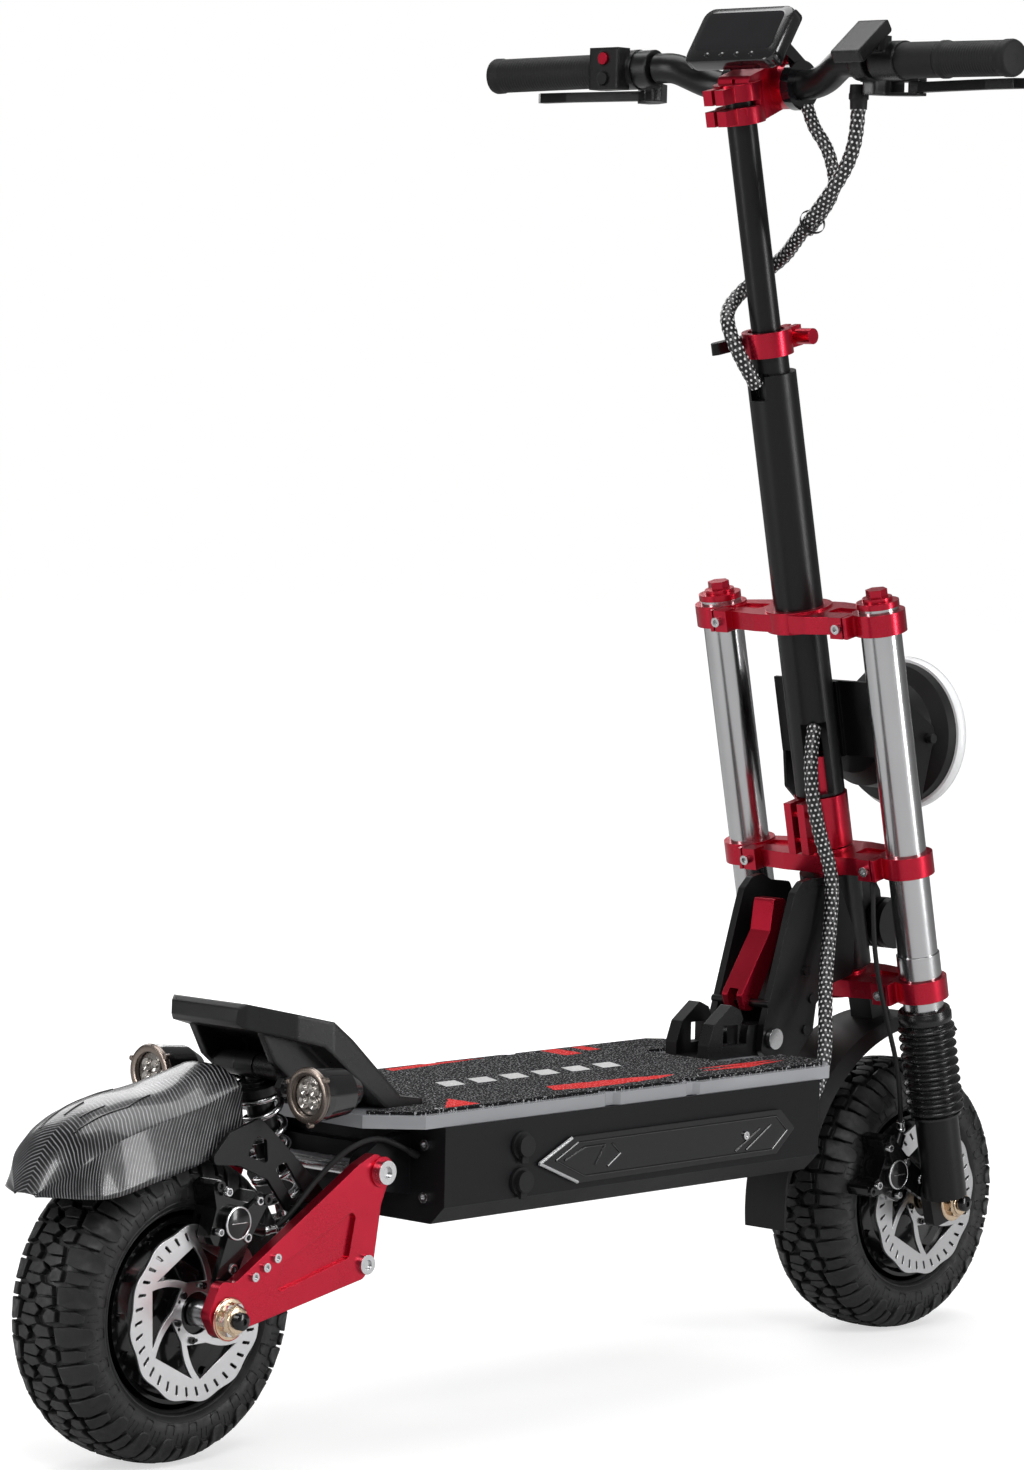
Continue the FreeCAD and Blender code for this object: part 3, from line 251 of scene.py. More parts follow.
def finish(name, colour, rough, metal=0.0, grain=900.0, depth=0.00004, vary=0.12, stretch=(1, 1, 1),
           edge=0.0, coat=0.0, patch=14.0, specular=0.5):
    """A painted, moulded or metal surface: grain in its height, slow patches in its colour and roughness."""
    material, shader, tree = new_material(name)
    place = object_place(tree, stretch)
    fine = noise(tree, place, grain)
    slow = noise(tree, object_place(tree), patch, detail=5.0)
    darker = tuple(part * (1 - vary) for part in colour)
    lighter = tuple(min(1.0, part * (1 + vary)) for part in colour)
    tree.links.new(mix(tree, slow, darker, lighter), shader.inputs["Base Color"])
    blended = maths(tree, "ADD", maths(tree, "MULTIPLY", fine, 0.5), maths(tree, "MULTIPLY", slow, 0.5))
    gloss = ramp(tree, blended, rough * 0.8, min(1.0, rough * 1.2), 0.3, 0.7)
    tree.links.new(gloss, shader.inputs["Roughness"])
    shader.inputs["Metallic"].default_value = metal
    shader.inputs["Specular IOR Level"].default_value = specular
    if coat:
        shader.inputs["Coat Weight"].default_value = coat
        shader.inputs["Coat Roughness"].default_value = 0.08
    bump(tree, shader, fine, depth, edge=edge)
    return material


def speckled_mat(name, base, fleck):
    """Grip surface: coarse grit with pale flecks."""
    material, shader, tree = new_material(name)
    place = object_place(tree)
    grit = put(tree, "ShaderNodeTexVoronoi", Scale=560.0)
    tree.links.new(place, grit.inputs["Vector"])
    grains = ramp(tree, grit.outputs["Distance"], 1.0, 0.0, 0.1, 0.55)
    chosen = ramp(tree, noise(tree, place, 480.0, detail=1.0), 0.0, 1.0, 0.6, 0.66)
    shade = noise(tree, place, 9.0, detail=4.0)
    body = mix(tree, shade, tuple(part * 0.8 for part in base), tuple(part * 1.25 for part in base))
    tree.links.new(mix(tree, chosen, body, fleck), shader.inputs["Base Color"])
    shader.inputs["Roughness"].default_value = 0.9
    shader.inputs["Specular IOR Level"].default_value = 0.12
    bump(tree, shader, grains, 0.0004, strength=0.9)
    return material


def carbon_stripes(name):
    """Moulded plastic printed with fine silver lines across it, under a clear gloss."""
    material, shader, tree = new_material(name)
    u, v = uv_axes(tree)
    place = object_place(tree)
    lean = maths(tree, "MULTIPLY", maths(tree, "ABSOLUTE", v, 0), 0.45)
    wobble = maths(tree, "MULTIPLY", noise(tree, place, 26.0), 0.004)
    along = maths(tree, "ADD", maths(tree, "ADD", u, lean), wobble)
    cycle = maths(tree, "PINGPONG", maths(tree, "DIVIDE", along, 0.0042), 0.5)
    lines = ramp(tree, cycle, 0.0, 1.0, 0.32, 0.4)
    broken = ramp(tree, noise(tree, place, 60.0, detail=4.0), 0.45, 1.0, 0.35, 0.65)
    shown = maths(tree, "MULTIPLY", lines, broken)
    tree.links.new(mix(tree, shown, (0.005, 0.005, 0.006), (0.26, 0.26, 0.27)), shader.inputs["Base Color"])
    tree.links.new(ramp(tree, shown, 0.3, 0.2), shader.inputs["Roughness"])
    shader.inputs["Coat Weight"].default_value = 0.3
    shader.inputs["Coat Roughness"].default_value = 0.06
    shader.inputs["Specular IOR Level"].default_value = 0.35
    bump(tree, shader, lines, 0.00003, edge=0.0008)
    return material


def clear_plastic(name, tint, rough, opacity, ior=1.49):
    """Acrylic or lens plastic: bright, slightly scratched and see-through."""
    material, shader, tree = new_material(name)
    place = object_place(tree)
    scratches = noise(tree, object_place(tree, (1, 1, 6)), 160.0, detail=6.0)
    tree.links.new(mix(tree, noise(tree, place, 20.0), tuple(part * 0.9 for part in tint), tint),
                   shader.inputs["Base Color"])
    tree.links.new(ramp(tree, scratches, rough * 0.7, rough * 1.5, 0.3, 0.7), shader.inputs["Roughness"])
    shader.inputs["IOR"].default_value = ior
    shader.inputs["Transmission Weight"].default_value = 1.0 - opacity
    bump(tree, shader, scratches, 0.00003, edge=0.0006)
    return material


def brushed(name, colour, rough, stretch, metal=1.0, edge=0.0004, depth=0.00003):
    """Machined or ground metal, its fine lines running across the stretched axis."""
    return finish(name, colour, rough, metal, grain=260.0, depth=depth, vary=0.1, stretch=stretch, edge=edge)


def make_looks():
    """One finish for each of the record's material slots."""
    looks = {
        "deck_black": finish("deck_black", (0.007, 0.007, 0.008), 0.42, grain=700.0,
                             depth=0.00006, edge=0.0012, specular=0.16),
        "clear_lid": clear_plastic("clear_lid", (0.86, 0.88, 0.92), 0.16, 0.35),
        "grip_mat": speckled_mat("grip_mat", (0.008, 0.008, 0.009), (0.42, 0.42, 0.43)),
        "pack_wrap": finish("pack_wrap", (0.02, 0.05, 0.16), 0.4, vary=0.2),
        "badge_clear": finish("badge_clear", (0.006, 0.006, 0.007), 0.12, coat=0.15, edge=0.0008,
                              vary=0.05, specular=0.3),
        "soft_rubber": finish("soft_rubber", (0.007, 0.007, 0.0075), 0.62, grain=1400.0,
                              depth=0.00008, edge=0.0005, specular=0.3),
        "satin_black": finish("satin_black", (0.005, 0.005, 0.0055), 0.32, grain=900.0,
                              edge=0.0008, specular=0.3),
        "lamp_black": finish("lamp_black", (0.008, 0.008, 0.009), 0.18, coat=0.5, edge=0.0005),
        "steel": brushed("steel", (0.62, 0.62, 0.63), 0.24, (1, 1, 3)),
        "red_anodised": finish("red_anodised", (0.5, 0.009, 0.032), 0.3, 0.85, grain=1200.0, edge=0.0009,
                               coat=0.25),
        "carbon_plastic": carbon_stripes("carbon_plastic"),
        "tyre_rubber": tyre_finish("tyre_rubber"),
        "motor_black": finish("motor_black", (0.004, 0.004, 0.0045), 0.2, 0.2, coat=0.5,
                              edge=0.0007, specular=0.3),
        "rotor_steel": brushed("rotor_steel", (0.6, 0.6, 0.61), 0.34, (6, 1, 6), edge=0.0003),
        "spring_steel": brushed("spring_steel", (0.55, 0.55, 0.56), 0.22, (1, 1, 4)),
        "chrome_tube": brushed("chrome_tube", (0.55, 0.55, 0.56), 0.2, (1, 1, 8), depth=0.00001),
        "lamp_clear": clear_plastic("lamp_clear", (0.93, 0.94, 0.95), 0.08, 0.45),
        "matte_black": finish("matte_black", (0.006, 0.006, 0.0065), 0.5, grain=1100.0,
                               depth=0.00008, edge=0.0007, specular=0.3),
        "screen": finish("screen", (0.004, 0.004, 0.005), 0.07, coat=1.0, vary=0.03),
        "loom": dotted_wrap("loom"),
        "brass_nut": brushed("brass_nut", (0.72, 0.56, 0.4), 0.25, (4, 1, 4)),
    }
    for node in NODES.values():
        for held in node.material_slots:
            held.material = looks[held.material.name.split(".")[0]]
    rounded = finish("moulded_black", (0.006, 0.006, 0.0065), 0.3, grain=500.0, depth=0.00005, edge=0.004,
                     specular=0.4)
    for name in ("footrest", "switch_pod", "voltage_meter", "lever_perches"):
        NODES[name].material_slots[0].material = rounded
    NODES["swingarm_bolts"].material_slots[0].material = looks["steel"]
    return looks


def tyre_finish(name):
    """Moulded tyre rubber: fine grain, mould marks and a dusty sheen."""
    material, shader, tree = new_material(name)
    place = object_place(tree)
    fine = noise(tree, place, 900.0)
    marks = noise(tree, place, 130.0, detail=6.0)
    dust = ramp(tree, noise(tree, place, 22.0, detail=5.0), 0.0, 1.0, 0.4, 0.75)
    colour = mix(tree, dust, (0.006, 0.006, 0.0065), (0.014, 0.014, 0.015))
    tree.links.new(colour, shader.inputs["Base Color"])
    tree.links.new(ramp(tree, marks, 0.42, 0.7, 0.3, 0.7), shader.inputs["Roughness"])
    height = maths(tree, "ADD", maths(tree, "MULTIPLY", fine, 0.3), maths(tree, "MULTIPLY", marks, 0.7))
    bump(tree, shader, height, 0.0004, strength=0.7, edge=0.0009)
    return material


# ---------------------------------------------------------------- mesh helpers


def add_piece(name, form, paint, smooth_angle=35.0):
    """Turns a bmesh into a piece of the object with its finish. It still has to ride on a body."""
    data = bpy.data.meshes.new(name)
    bmesh.ops.recalc_face_normals(form, faces=form.faces)
    for face in form.faces:
        face.smooth = True
    for edge in form.edges:
        if len(edge.link_faces) == 2 and edge.calc_face_angle(0.0) > math.radians(smooth_angle):
            edge.smooth = False
    form.to_mesh(data)
    form.free()
    piece = bpy.data.objects.new(name, data)
    bpy.context.scene.collection.objects.link(piece)
    data.materials.append(paint)
    return piece


def join_rings(form, rings, closed=True, caps=False):
    """Faces between each ring of vertices and the next."""
    for near, far in zip(rings, rings[1:]):
        count = len(near)
        for i in range(count if closed else count - 1):
            j = (i + 1) % count
            form.faces.new((near[i], near[j], far[j], far[i]))
    if caps:
        form.faces.new(list(reversed(rings[0])))
        form.faces.new(rings[-1])


def frame_of(axis):
    """Two unit vectors square to an axis."""
    axis = axis.normalized()
    helper = Vector((0, 1, 0)) if abs(axis.y) < 0.9 else Vector((1, 0, 0))
    side = axis.cross(helper).normalized()
    return side, axis.cross(side).normalized()


def lathe(form, origin, axis, profile, count=48, caps=True):
    """Turns a profile of (distance along the axis, radius) round an axis."""
    axis = axis.normalized()
    side, over = frame_of(axis)
    rings = []
    for along, radius in profile:
        middle = origin + axis * along
        rings.append(
            [
                form.verts.new(middle + (side * math.cos(turn) + over * math.sin(turn)) * radius)
                for turn in (2 * math.pi * i / count for i in range(count))
            ]
        )
    join_rings(form, rings, caps=caps)


def spline_points(points, samples=10):
    """Points read from the smooth NURBS line through a route's control points."""
    data = bpy.data.curves.new("route", "CURVE")
    data.dimensions = "3D"
    data.resolution_u = samples
    line = data.splines.new("NURBS")
    line.points.add(len(points) - 1)
    for held, point in zip(line.points, points):
        held.co = (*point, 1)
    line.order_u = 3
    line.use_endpoint_u = True
    carrier = bpy.data.objects.new("route", data)
    mesh = bpy.data.meshes.new_from_object(carrier)
    found = [vertex.co.copy() for vertex in mesh.vertices]
    bpy.data.objects.remove(carrier)
    bpy.data.curves.remove(data)
    bpy.data.meshes.remove(mesh)
    return found


def tube(form, path, radius, count=16, wave=None):
    """A round tube along a path, with u in metres along it and v round it. wave(u, v) changes its radius."""
    layer = form.loops.layers.uv.verify()
    tangents = [
        (path[min(i + 1, len(path) - 1)] - path[max(i - 1, 0)]).normalized() for i in range(len(path))
    ]
    side, _ = frame_of(tangents[0])
    rings, travelled = [], [0.0]
    for near, far in zip(path, path[1:]):
        travelled.append(travelled[-1] + (far - near).length)
    for point, tangent, u in zip(path, tangents, travelled):
        side = (side - tangent * side.dot(tangent)).normalized()
        over = tangent.cross(side)
        ring = []
        for i in range(count):
            turn = 2 * math.pi * i / count
            reach = radius if wave is None else radius + wave(u, i / count)
            ring.append(form.verts.new(point + (side * math.cos(turn) + over * math.sin(turn)) * reach))
        rings.append(ring)
    for k, (near, far) in enumerate(zip(rings, rings[1:])):
        for i in range(count):
            j = (i + 1) % count
            face = form.faces.new((near[i], near[j], far[j], far[i]))
            spots = ((k, i), (k, i + 1), (k + 1, i + 1), (k + 1, i))
            for loop, (row, turn) in zip(face.loops, spots):
                loop[layer].uv = (travelled[row], turn / count)
    form.faces.new(list(reversed(rings[0])))
    form.faces.new(rings[-1])


def even_path(path, step):
    """The same line with points a fixed step apart."""
    found, carried = [path[0]], 0.0
    for near, far in zip(path, path[1:]):
        length = (far - near).length
        while carried + length >= step:
            ahead = (step - carried) / length
            near = near.lerp(far, ahead)
            found.append(near.copy())
            length = (far - near).length
            carried = 0.0
        carried += length
    if (path[-1] - found[-1]).length > step * 0.3:
        found.append(path[-1])
    return found


# ---------------------------------------------------------------- tyres

# Half of the tyre's cross-section from the crown to the bead, as (across, radius) in millimetres.
TYRE_PROFILE = [(0, 133.2), (12, 133), (24, 131.8), (34, 128.8), (40.5, 124.2), (44.6, 118), (46.8, 110.5),
                (47, 103.8), (45.6, 99.6), (45.9, 98.6), (44.6, 96.4), (42.4, 94.2), (42.6, 93.2),
                (40.6, 91.6), (38.8, 91.4), (37.4, 89.4), (36, 88.6)]
PITCHES = 24

# Tread blocks of one side as (corners, height at the inner edge, height at the outer edge). A corner is
# (share of a pitch, millimetres from the crown line). The other side has them half a pitch later.
TREAD_BLOCKS = [
    ([(0.02, -2.5), (0.07, -15), (0.30, -17.5), (0.33, -1), (0.19, 3.5)], 6.6, 6.6),
    ([(0.37, -1.5), (0.34, -17.5), (0.50, -19), (0.62, -9), (0.52, 1.5)], 6.6, 6.6),
    ([(0.60, -14), (0.66, -22.5), (0.92, -22.5), (0.97, -12), (0.80, -9)], 6.2, 6.2),
    ([(0.05, -22), (0.0, -36), (0.06, -52), (0.17, -56), (0.42, -56), (0.53, -49), (0.55, -34), (0.48, -24)],
     6.6, 2.2),
    ([(0.63, -27), (0.62, -40), (0.70, -47), (0.90, -46), (0.94, -38), (0.93, -27)], 6.4, 3.4),
]
# Thin raised outlines on the sidewall, as (corners, height).
SIDE_MARKS = [
    ([(0.10, -58.5), (0.10, -66), (0.135, -66), (0.135, -58.5)], 0.8),
    ([(0.44, -58.5), (0.44, -66), (0.475, -66), (0.475, -58.5)], 0.8),
    ([(0.10, -66), (0.16, -69), (0.42, -69), (0.475, -66), (0.42, -67.2), (0.16, -67.2)], 0.8),
    ([(0.66, -50), (0.64, -60), (0.67, -60), (0.69, -50)], 0.8),
    ([(0.86, -50), (0.84, -60), (0.87, -60), (0.89, -50)], 0.8),
]


def profile_at(along):
    """Across, radius and outward direction at a distance from the crown line along the cross-section."""
    side = -1 if along < 0 else 1
    left = abs(along)
    for near, far in zip(TYRE_PROFILE, TYRE_PROFILE[1:]):
        across, out = far[0] - near[0], far[1] - near[1]
        run = math.hypot(across, out)
        if left <= run or far == TYRE_PROFILE[-1]:
            part = min(left / run, 1.0)
            place = (side * (near[0] + across * part), near[1] + out * part)
            return place, (side * -out / run, across / run)
        left -= run
    return None


def tyre_point(centre, turn, along, height):
    """A point above the tyre's surface: turn round the axle, along from the crown line."""
    (across, radius), (out_y, out_r) = profile_at(along)
    across += out_y * height
    radius += out_r * height
    return centre + Vector((radius * math.cos(turn), across, radius * math.sin(turn))) / 1000


def tread_block(form, centre, turns, alongs, heights, inset):
    """One rubber block standing on the carcass, its top edge chamfered."""
    middle_turn = sum(turns) / len(turns)
    middle_along = sum(alongs) / len(alongs)
    rings = []
    for drop, shrink in ((None, 1.0), (inset, 1.0), (0.0, 1.0 - inset / 8)):
        ring = []
        for turn, along, height in zip(turns, alongs, heights):
            level = -1.0 if drop is None else height - drop
            ring.append(
                form.verts.new(
                    tyre_point(
                        centre,
                        middle_turn + (turn - middle_turn) * shrink,
                        middle_along + (along - middle_along) * shrink,
                        level,
                    )
                )
            )
        rings.append(ring)
    join_rings(form, rings)
    top = form.verts.new(tyre_point(centre, middle_turn, middle_along, sum(heights) / len(heights)))
    for i, corner in enumerate(rings[-1]):
        form.faces.new((corner, rings[-1][(i + 1) % len(rings[-1])], top))


def split_edges(corners, longest=0.16):
    """Corners with extra points on long runs, so that a block follows the tyre's curve."""
    found = []
    for i, near in enumerate(corners):
        far = corners[(i + 1) % len(corners)]
        parts = max(1, math.ceil(max(abs(far[0] - near[0]) / longest, abs(far[1] - near[1]) / 9)))
        found += [
            (near[0] + (far[0] - near[0]) * k / parts, near[1] + (far[1] - near[1]) * k / parts)
            for k in range(parts)
        ]
    return found


def make_tyre(name, centre, body, node):
    """A closed carcass with its tread blocks and raised shoulder marks."""
    form = bmesh.new()
    outline = [(y, r) for y, r in reversed(TYRE_PROFILE)] + [(-y, r) for y, r in TYRE_PROFILE[1:]]
    outline += [(-34, 90.5), (-30, 124), (0, 127), (30, 124), (34, 90.5)]
    lathe_points = [(-y / 1000, r / 1000) for y, r in outline]
    rings = []
    for i in range(144):
        turn = 2 * math.pi * i / 144
        rings.append(
            [
                form.verts.new(centre + Vector((r * math.cos(turn), y, r * math.sin(turn))))
                for y, r in lathe_points
            ]
        )
    join_rings(form, rings + [rings[0]])
    pitch = 2 * math.pi / PITCHES
    for step in range(PITCHES):
        for side, late in ((1, 0.0), (-1, 0.5)):
            for corners, inner, outer in TREAD_BLOCKS:
                corners = split_edges(corners)
                turns = [(step + late + share) * pitch for share, _ in corners]
                alongs = [side * along for _, along in corners]
                near, far = max(a for _, a in corners), min(a for _, a in corners)
                heights = [inner + (outer - inner) * ((near - a) / (near - far)) ** 1.5 for _, a in corners]
                tread_block(form, centre, turns, alongs, heights, 0.7)
            for corners, height in SIDE_MARKS:
                turns = [(step + late + share) * pitch for share, _ in corners]
                alongs = [side * along for _, along in corners]
                tread_block(form, centre, turns, alongs, [height] * len(corners), 0.3)
    piece = add_piece(name, form, LOOKS["tyre_rubber"], smooth_angle=28)
    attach(piece, body)
    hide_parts(node)


# ---------------------------------------------------------------- wiring

UPPER_LOOM = [(797, -122, 1256), (797, -122, 1222), (797, -114, 1190), (795, -94, 1160), (799, -66, 1134),
              (813, -34, 1112), (829, -6, 1096), (828, 24, 1078), (811, 38, 1058), (790, 34, 1042),
              (776, 20, 1026), (776, 8, 1004), (786, 2, 984), (799, 0, 968)]
LOWER_LOOM = [(882, -17, 628), (870, -23, 600), (867, -28, 564), (875, -33, 520), (883, -46, 480),
              (875, -50, 428), (858, -60, 375), (842, -74, 338), (829, -86, 306), (813, -91, 276),
              (793, -92, 257), (770.2, -92, 257)]
REAR_CABLE = [(66, -70, 207), (79, -75, 209), (96, -79, 224), (121, -80, 248), (151, -87, 274),
              (186, -92, 284), (214, -93, 274), (238, -94, 262)]
FRONT_CABLE = [(905, -80, 475), (896, -88, 428), (905, -89, 380), (918, -92, 334), (936, -92, 290),
               (952, -85, 250), (966, -74.5, 227), (972.4, -70.3, 215.0)]
LOOM_R = 0.0075
CABLE_R = 0.0025
WRAP_PITCH = 0.0052


def dotted_wrap(name):
    """Black braided sleeve with rows of white dots running diagonally round it."""
    material, shader, tree = new_material(name)
    u, v = uv_axes(tree)
    rows = maths(tree, "DIVIDE", u, WRAP_PITCH)
    columns = maths(tree, "MULTIPLY", v, 9.0)
    columns = maths(tree, "ADD", columns, maths(tree, "MULTIPLY", maths(tree, "FLOOR", rows), 0.5))
    across = maths(tree, "SUBTRACT", maths(tree, "FRACT", rows), 0.5)
    around = maths(tree, "SUBTRACT", maths(tree, "FRACT", columns), 0.5)
    square = maths(tree, "ADD", maths(tree, "MULTIPLY", across, across),
                   maths(tree, "MULTIPLY", around, around))
    dot = ramp(tree, square, 1.0, 0.0, 0.035, 0.075)
    wear = ramp(tree, noise(tree, object_place(tree), 300.0), 0.75, 1.0, 0.3, 0.6)
    shown = maths(tree, "MULTIPLY", dot, wear)
    tree.links.new(mix(tree, shown, (0.008, 0.008, 0.009), (0.8, 0.8, 0.8)), shader.inputs["Base Color"])
    tree.links.new(ramp(tree, dot, 0.35, 0.5), shader.inputs["Roughness"])
    bump(tree, shader, dot, 0.0005)
    return material


def ripple(u, v):
    """The sleeve's diagonal weave, as a change of radius."""
    return 0.00035 * math.sin(2 * math.pi * (u / (2 * WRAP_PITCH) + v * 3))


def make_loom(name, points, node=None, part=(0.0, 1.0)):
    """A sleeved loom along a share of a route, as a mesh that isn't on a body yet."""
    path = even_path(spline_points([world(*p) for p in points], 14), 0.0016)
    first, last = (round(share * (len(path) - 1)) for share in part)
    form = bmesh.new()
    tube(form, path[first : last + 1], LOOM_R - 0.0004, 24, ripple)
    piece = add_piece(name, form, LOOKS["loom"], smooth_angle=60)
    if node:
        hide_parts(node)
    return piece


def make_cable(name, points, node):
    """A brake hose along a route, with a short fitting at each end."""
    path = spline_points([world(*p) for p in points], 12)
    form = bmesh.new()
    tube(form, path, CABLE_R, 14)
    reach = 0.0036
    fitting = [(0, reach), (0.008, reach), (0.0095, reach * 0.86), (0.013, reach * 0.8)]
    for start, end in ((0, 1), (-1, -2)):
        along = (path[end] - path[start]).normalized()
        lathe(form, path[start], along, fitting, 16)
    piece = add_piece(name, form, LOOKS["soft_rubber"])
    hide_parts(node)
    return piece


def make_wiring():
    """Both looms and both brake hoses, each baked in place; the lower loom is made in two pieces."""
    upper = make_loom("upper_loom_sleeve", UPPER_LOOM, "upper_loom")
    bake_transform(upper)
    top = make_loom("lower_loom_sleeve", LOWER_LOOM, "lower_loom", (0.0, 0.4))
    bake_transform(top)
    foot = make_loom("lower_loom_foot", LOWER_LOOM, None, (0.4, 1.0))
    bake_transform(foot)
    rear = make_cable("rear_brake_hose", REAR_CABLE, "rear_cable")
    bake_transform(rear)
    front = make_cable("front_brake_hose", FRONT_CABLE, "front_cable")
    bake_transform(front)


# ---------------------------------------------------------------- suspension rubber and spring


# One pleat of a gaiter, as (share of its length, radius in millimetres).
PLEAT = [(0.0, 24.2), (0.12, 24.6), (0.3, 27.4), (0.42, 28.8), (0.5, 29.0), (0.58, 28.8), (0.7, 27.4),
         (0.88, 24.6)]


def make_bellows():
    """Ribbed gaiters with a smooth top collar and a clamp band at each end."""
    form = bmesh.new()
    s0, s1, pleats = 240.6, 354.0, 10
    step = (s1 - 18 - s0) / pleats
    profile = [(s0, 21.2), (s0, 25.4), (s0 + 2.4, 25.6)]
    for i in range(pleats):
        base = s0 + 3 + i * step
        for share, radius in PLEAT:
            profile.append((base + share * step, radius))
    profile += [(s1 - 15, 24.2), (s1 - 14, 26.2), (s1 - 12.6, 27.2), (s1 - 5, 27.4), (s1 - 4, 26.4),
                (s1 - 1, 26.2), (s1, 25.4), (s1, 21.2)]
    axis = steered(0, 0, 1) - steered(0, 0, 0)
    for side in (-1, 1):
        foot = steered(0, side * 103, 0)
        lathe(form, foot, axis, [(s / 1000, r / 1000) for s, r in profile], 56, caps=False)
    gloss = finish("gaiter_rubber", (0.006, 0.006, 0.0065), 0.28, grain=700.0, depth=0.00003)
    piece = add_piece("fork_gaiters", form, gloss, smooth_angle=70)
    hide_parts("fork_bellows")
    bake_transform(piece)


def make_spring():
    """Closed-end coil spring of the rear damper."""
    low, high = world(170, 0, 170), world(118, 0, 345)
    axis = (high - low).normalized()
    start, end = 0.0246 + 0.0034, (high - low).length - 0.0266 - 0.0034
    side, over = frame_of(axis)
    path = []
    turns, steps = 7.6, 260
    for i in range(steps + 1):
        share = i / steps
        eased = min(max((share - 0.09) / 0.82, 0.0), 1.0)
        turn = 2 * math.pi * turns * share
        spot = low + axis * (start + (end - start) * eased)
        path.append(spot + (side * math.cos(turn) + over * math.sin(turn)) * 0.0185)
    form = bmesh.new()
    tube(form, path, 0.0032, 14)
    piece = add_piece("damper_spring", form, LOOKS["spring_steel"], smooth_angle=60)
    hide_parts("shock_spring")
    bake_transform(piece)


# ---------------------------------------------------------------- grips, deck and badges


def bar_point(y):
    """The middle of the handlebar's outer run at y millimetres across."""
    share = (abs(y) - 108) / 226
    return world(788 - 21 * share, y, 1284 - 4 * share)


def make_grips():
    """Soft ribbed grips with a collar at the inner end and a slightly wider outer end."""
    for name, inner, outer in (("left_grip", 196, 334), ("right_grip", -242, -334)):
        start, end = bar_point(inner), bar_point(outer)
        axis = (end - start).normalized()
        length = (end - start).length
        profile = [(0.0, 0.0115), (0.0, 0.0176), (0.0012, 0.0184), (0.006, 0.0184), (0.007, 0.0174)]
        along = 0.009
        while along < length - 0.016:
            profile += [(along, 0.01695), (along + 0.0005, 0.0172), (along + 0.0021, 0.0172),
                        (along + 0.0026, 0.01695)]
            along += 0.0034
        profile += [(length - 0.012, 0.0172), (length - 0.010, 0.0180), (length - 0.003, 0.0181),
                    (length - 0.0008, 0.0172), (length, 0.0150), (length, 0.0040)]
        form = bmesh.new()
        lathe(form, start, axis, profile, 48, caps=False)
        close_bar_end(form, end - axis * 0.0002, axis, 0.0118)
        piece = add_piece(name, form, LOOKS["soft_rubber"], smooth_angle=50)
        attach(piece, "cockpit")
        if name == "left_grip":
            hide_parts("grips")


def close_bar_end(form, origin, axis, radius):
    """A shallow round plug closing the bar's end."""
    profile = [(0, radius), (0.0016, radius), (0.002, radius * 0.9), (0.002, 0.001)]
    lathe(form, origin - axis * 0.002, axis, profile, 32)


def flat_shape(form, corners, z, steps=7, ragged=0.0, seed=1):
    """A thin flat shape lying at height z, its long edges optionally ragged like dry brush strokes."""
    dice = random.Random(seed)
    outline = []
    for i, near in enumerate(corners):
        far = corners[(i + 1) % len(corners)]
        for k in range(steps):
            share = k / steps
            spot = [near[0] + (far[0] - near[0]) * share, near[1] + (far[1] - near[1]) * share]
            if k:
                spot[1] += dice.uniform(-ragged, ragged)
                spot[0] += dice.uniform(-ragged, ragged)
            outline.append(spot)
    low = [form.verts.new(world(x, y, z)) for x, y in outline]
    high = [form.verts.new(world(x, y, z + 0.18)) for x, y in outline]
    join_rings(form, [low, high])
    form.faces.new(high)


MAT_TOP = 306.02
RED_SHAPES = [
    ([(254, -112), (300, -112), (300, -72), (282, -88)], 1.2),
    ([(424, -92), (470, -102), (560, -98), (598, -88), (540, -78), (470, -72), (436, -70)], 1.6),
    ([(640, -88), (700, -97), (766, -84), (700, -84)], 0.9),
    ([(650, -74), (716, -84), (764, -76), (710, -74)], 0.9),
    ([(622, 74), (646, 74), (650, 112), (626, 112)], 1.2),
    ([(668, 84), (684, 84), (688, 112), (670, 112)], 1.2),
    ([(400, 96), (470, 103), (540, 108), (470, 112), (404, 110)], 1.0),
]
PALE_BARS = [[(x, -13), (x + 26, -13), (x + 38, 13), (x + 12, 13)] for x in range(360, 624, 44)]


def make_deck_shapes():
    """Printed shapes on the mat: red brush strokes, and a plain row of slanted bars."""
    red = speckled_mat("mat_red", (0.6, 0.02, 0.02), (0.75, 0.3, 0.3))
    form = bmesh.new()
    for number, (corners, ragged) in enumerate(RED_SHAPES):
        flat_shape(form, corners, MAT_TOP, ragged=ragged, seed=number)
    strokes = add_piece("mat_red_strokes", form, red)
    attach(strokes, "chassis")
    pale = speckled_mat("mat_pale", (0.55, 0.55, 0.55), (0.8, 0.8, 0.8))
    form = bmesh.new()
    for corners in PALE_BARS:
        flat_shape(form, corners, MAT_TOP, steps=1)
    bars = add_piece("mat_pale_bars", form, pale)
    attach(bars, "chassis")


def strip(form, corners, side, depth, width, closed=True):
    """A raised bead following corners (x, z) on a side face at |y| = depth."""
    path = [world(x, side * depth, z) for x, z in corners]
    if closed:
        path = path + [path[0]]
    for near, far in zip(path, path[1:]):
        form_path = [near, near.lerp(far, 0.5), far]
        tube(form, form_path, width / 1000, 8)


BADGE_OUTLINE = [(384, 248), (414, 262), (700, 262), (717, 247), (695, 230), (424, 230)]


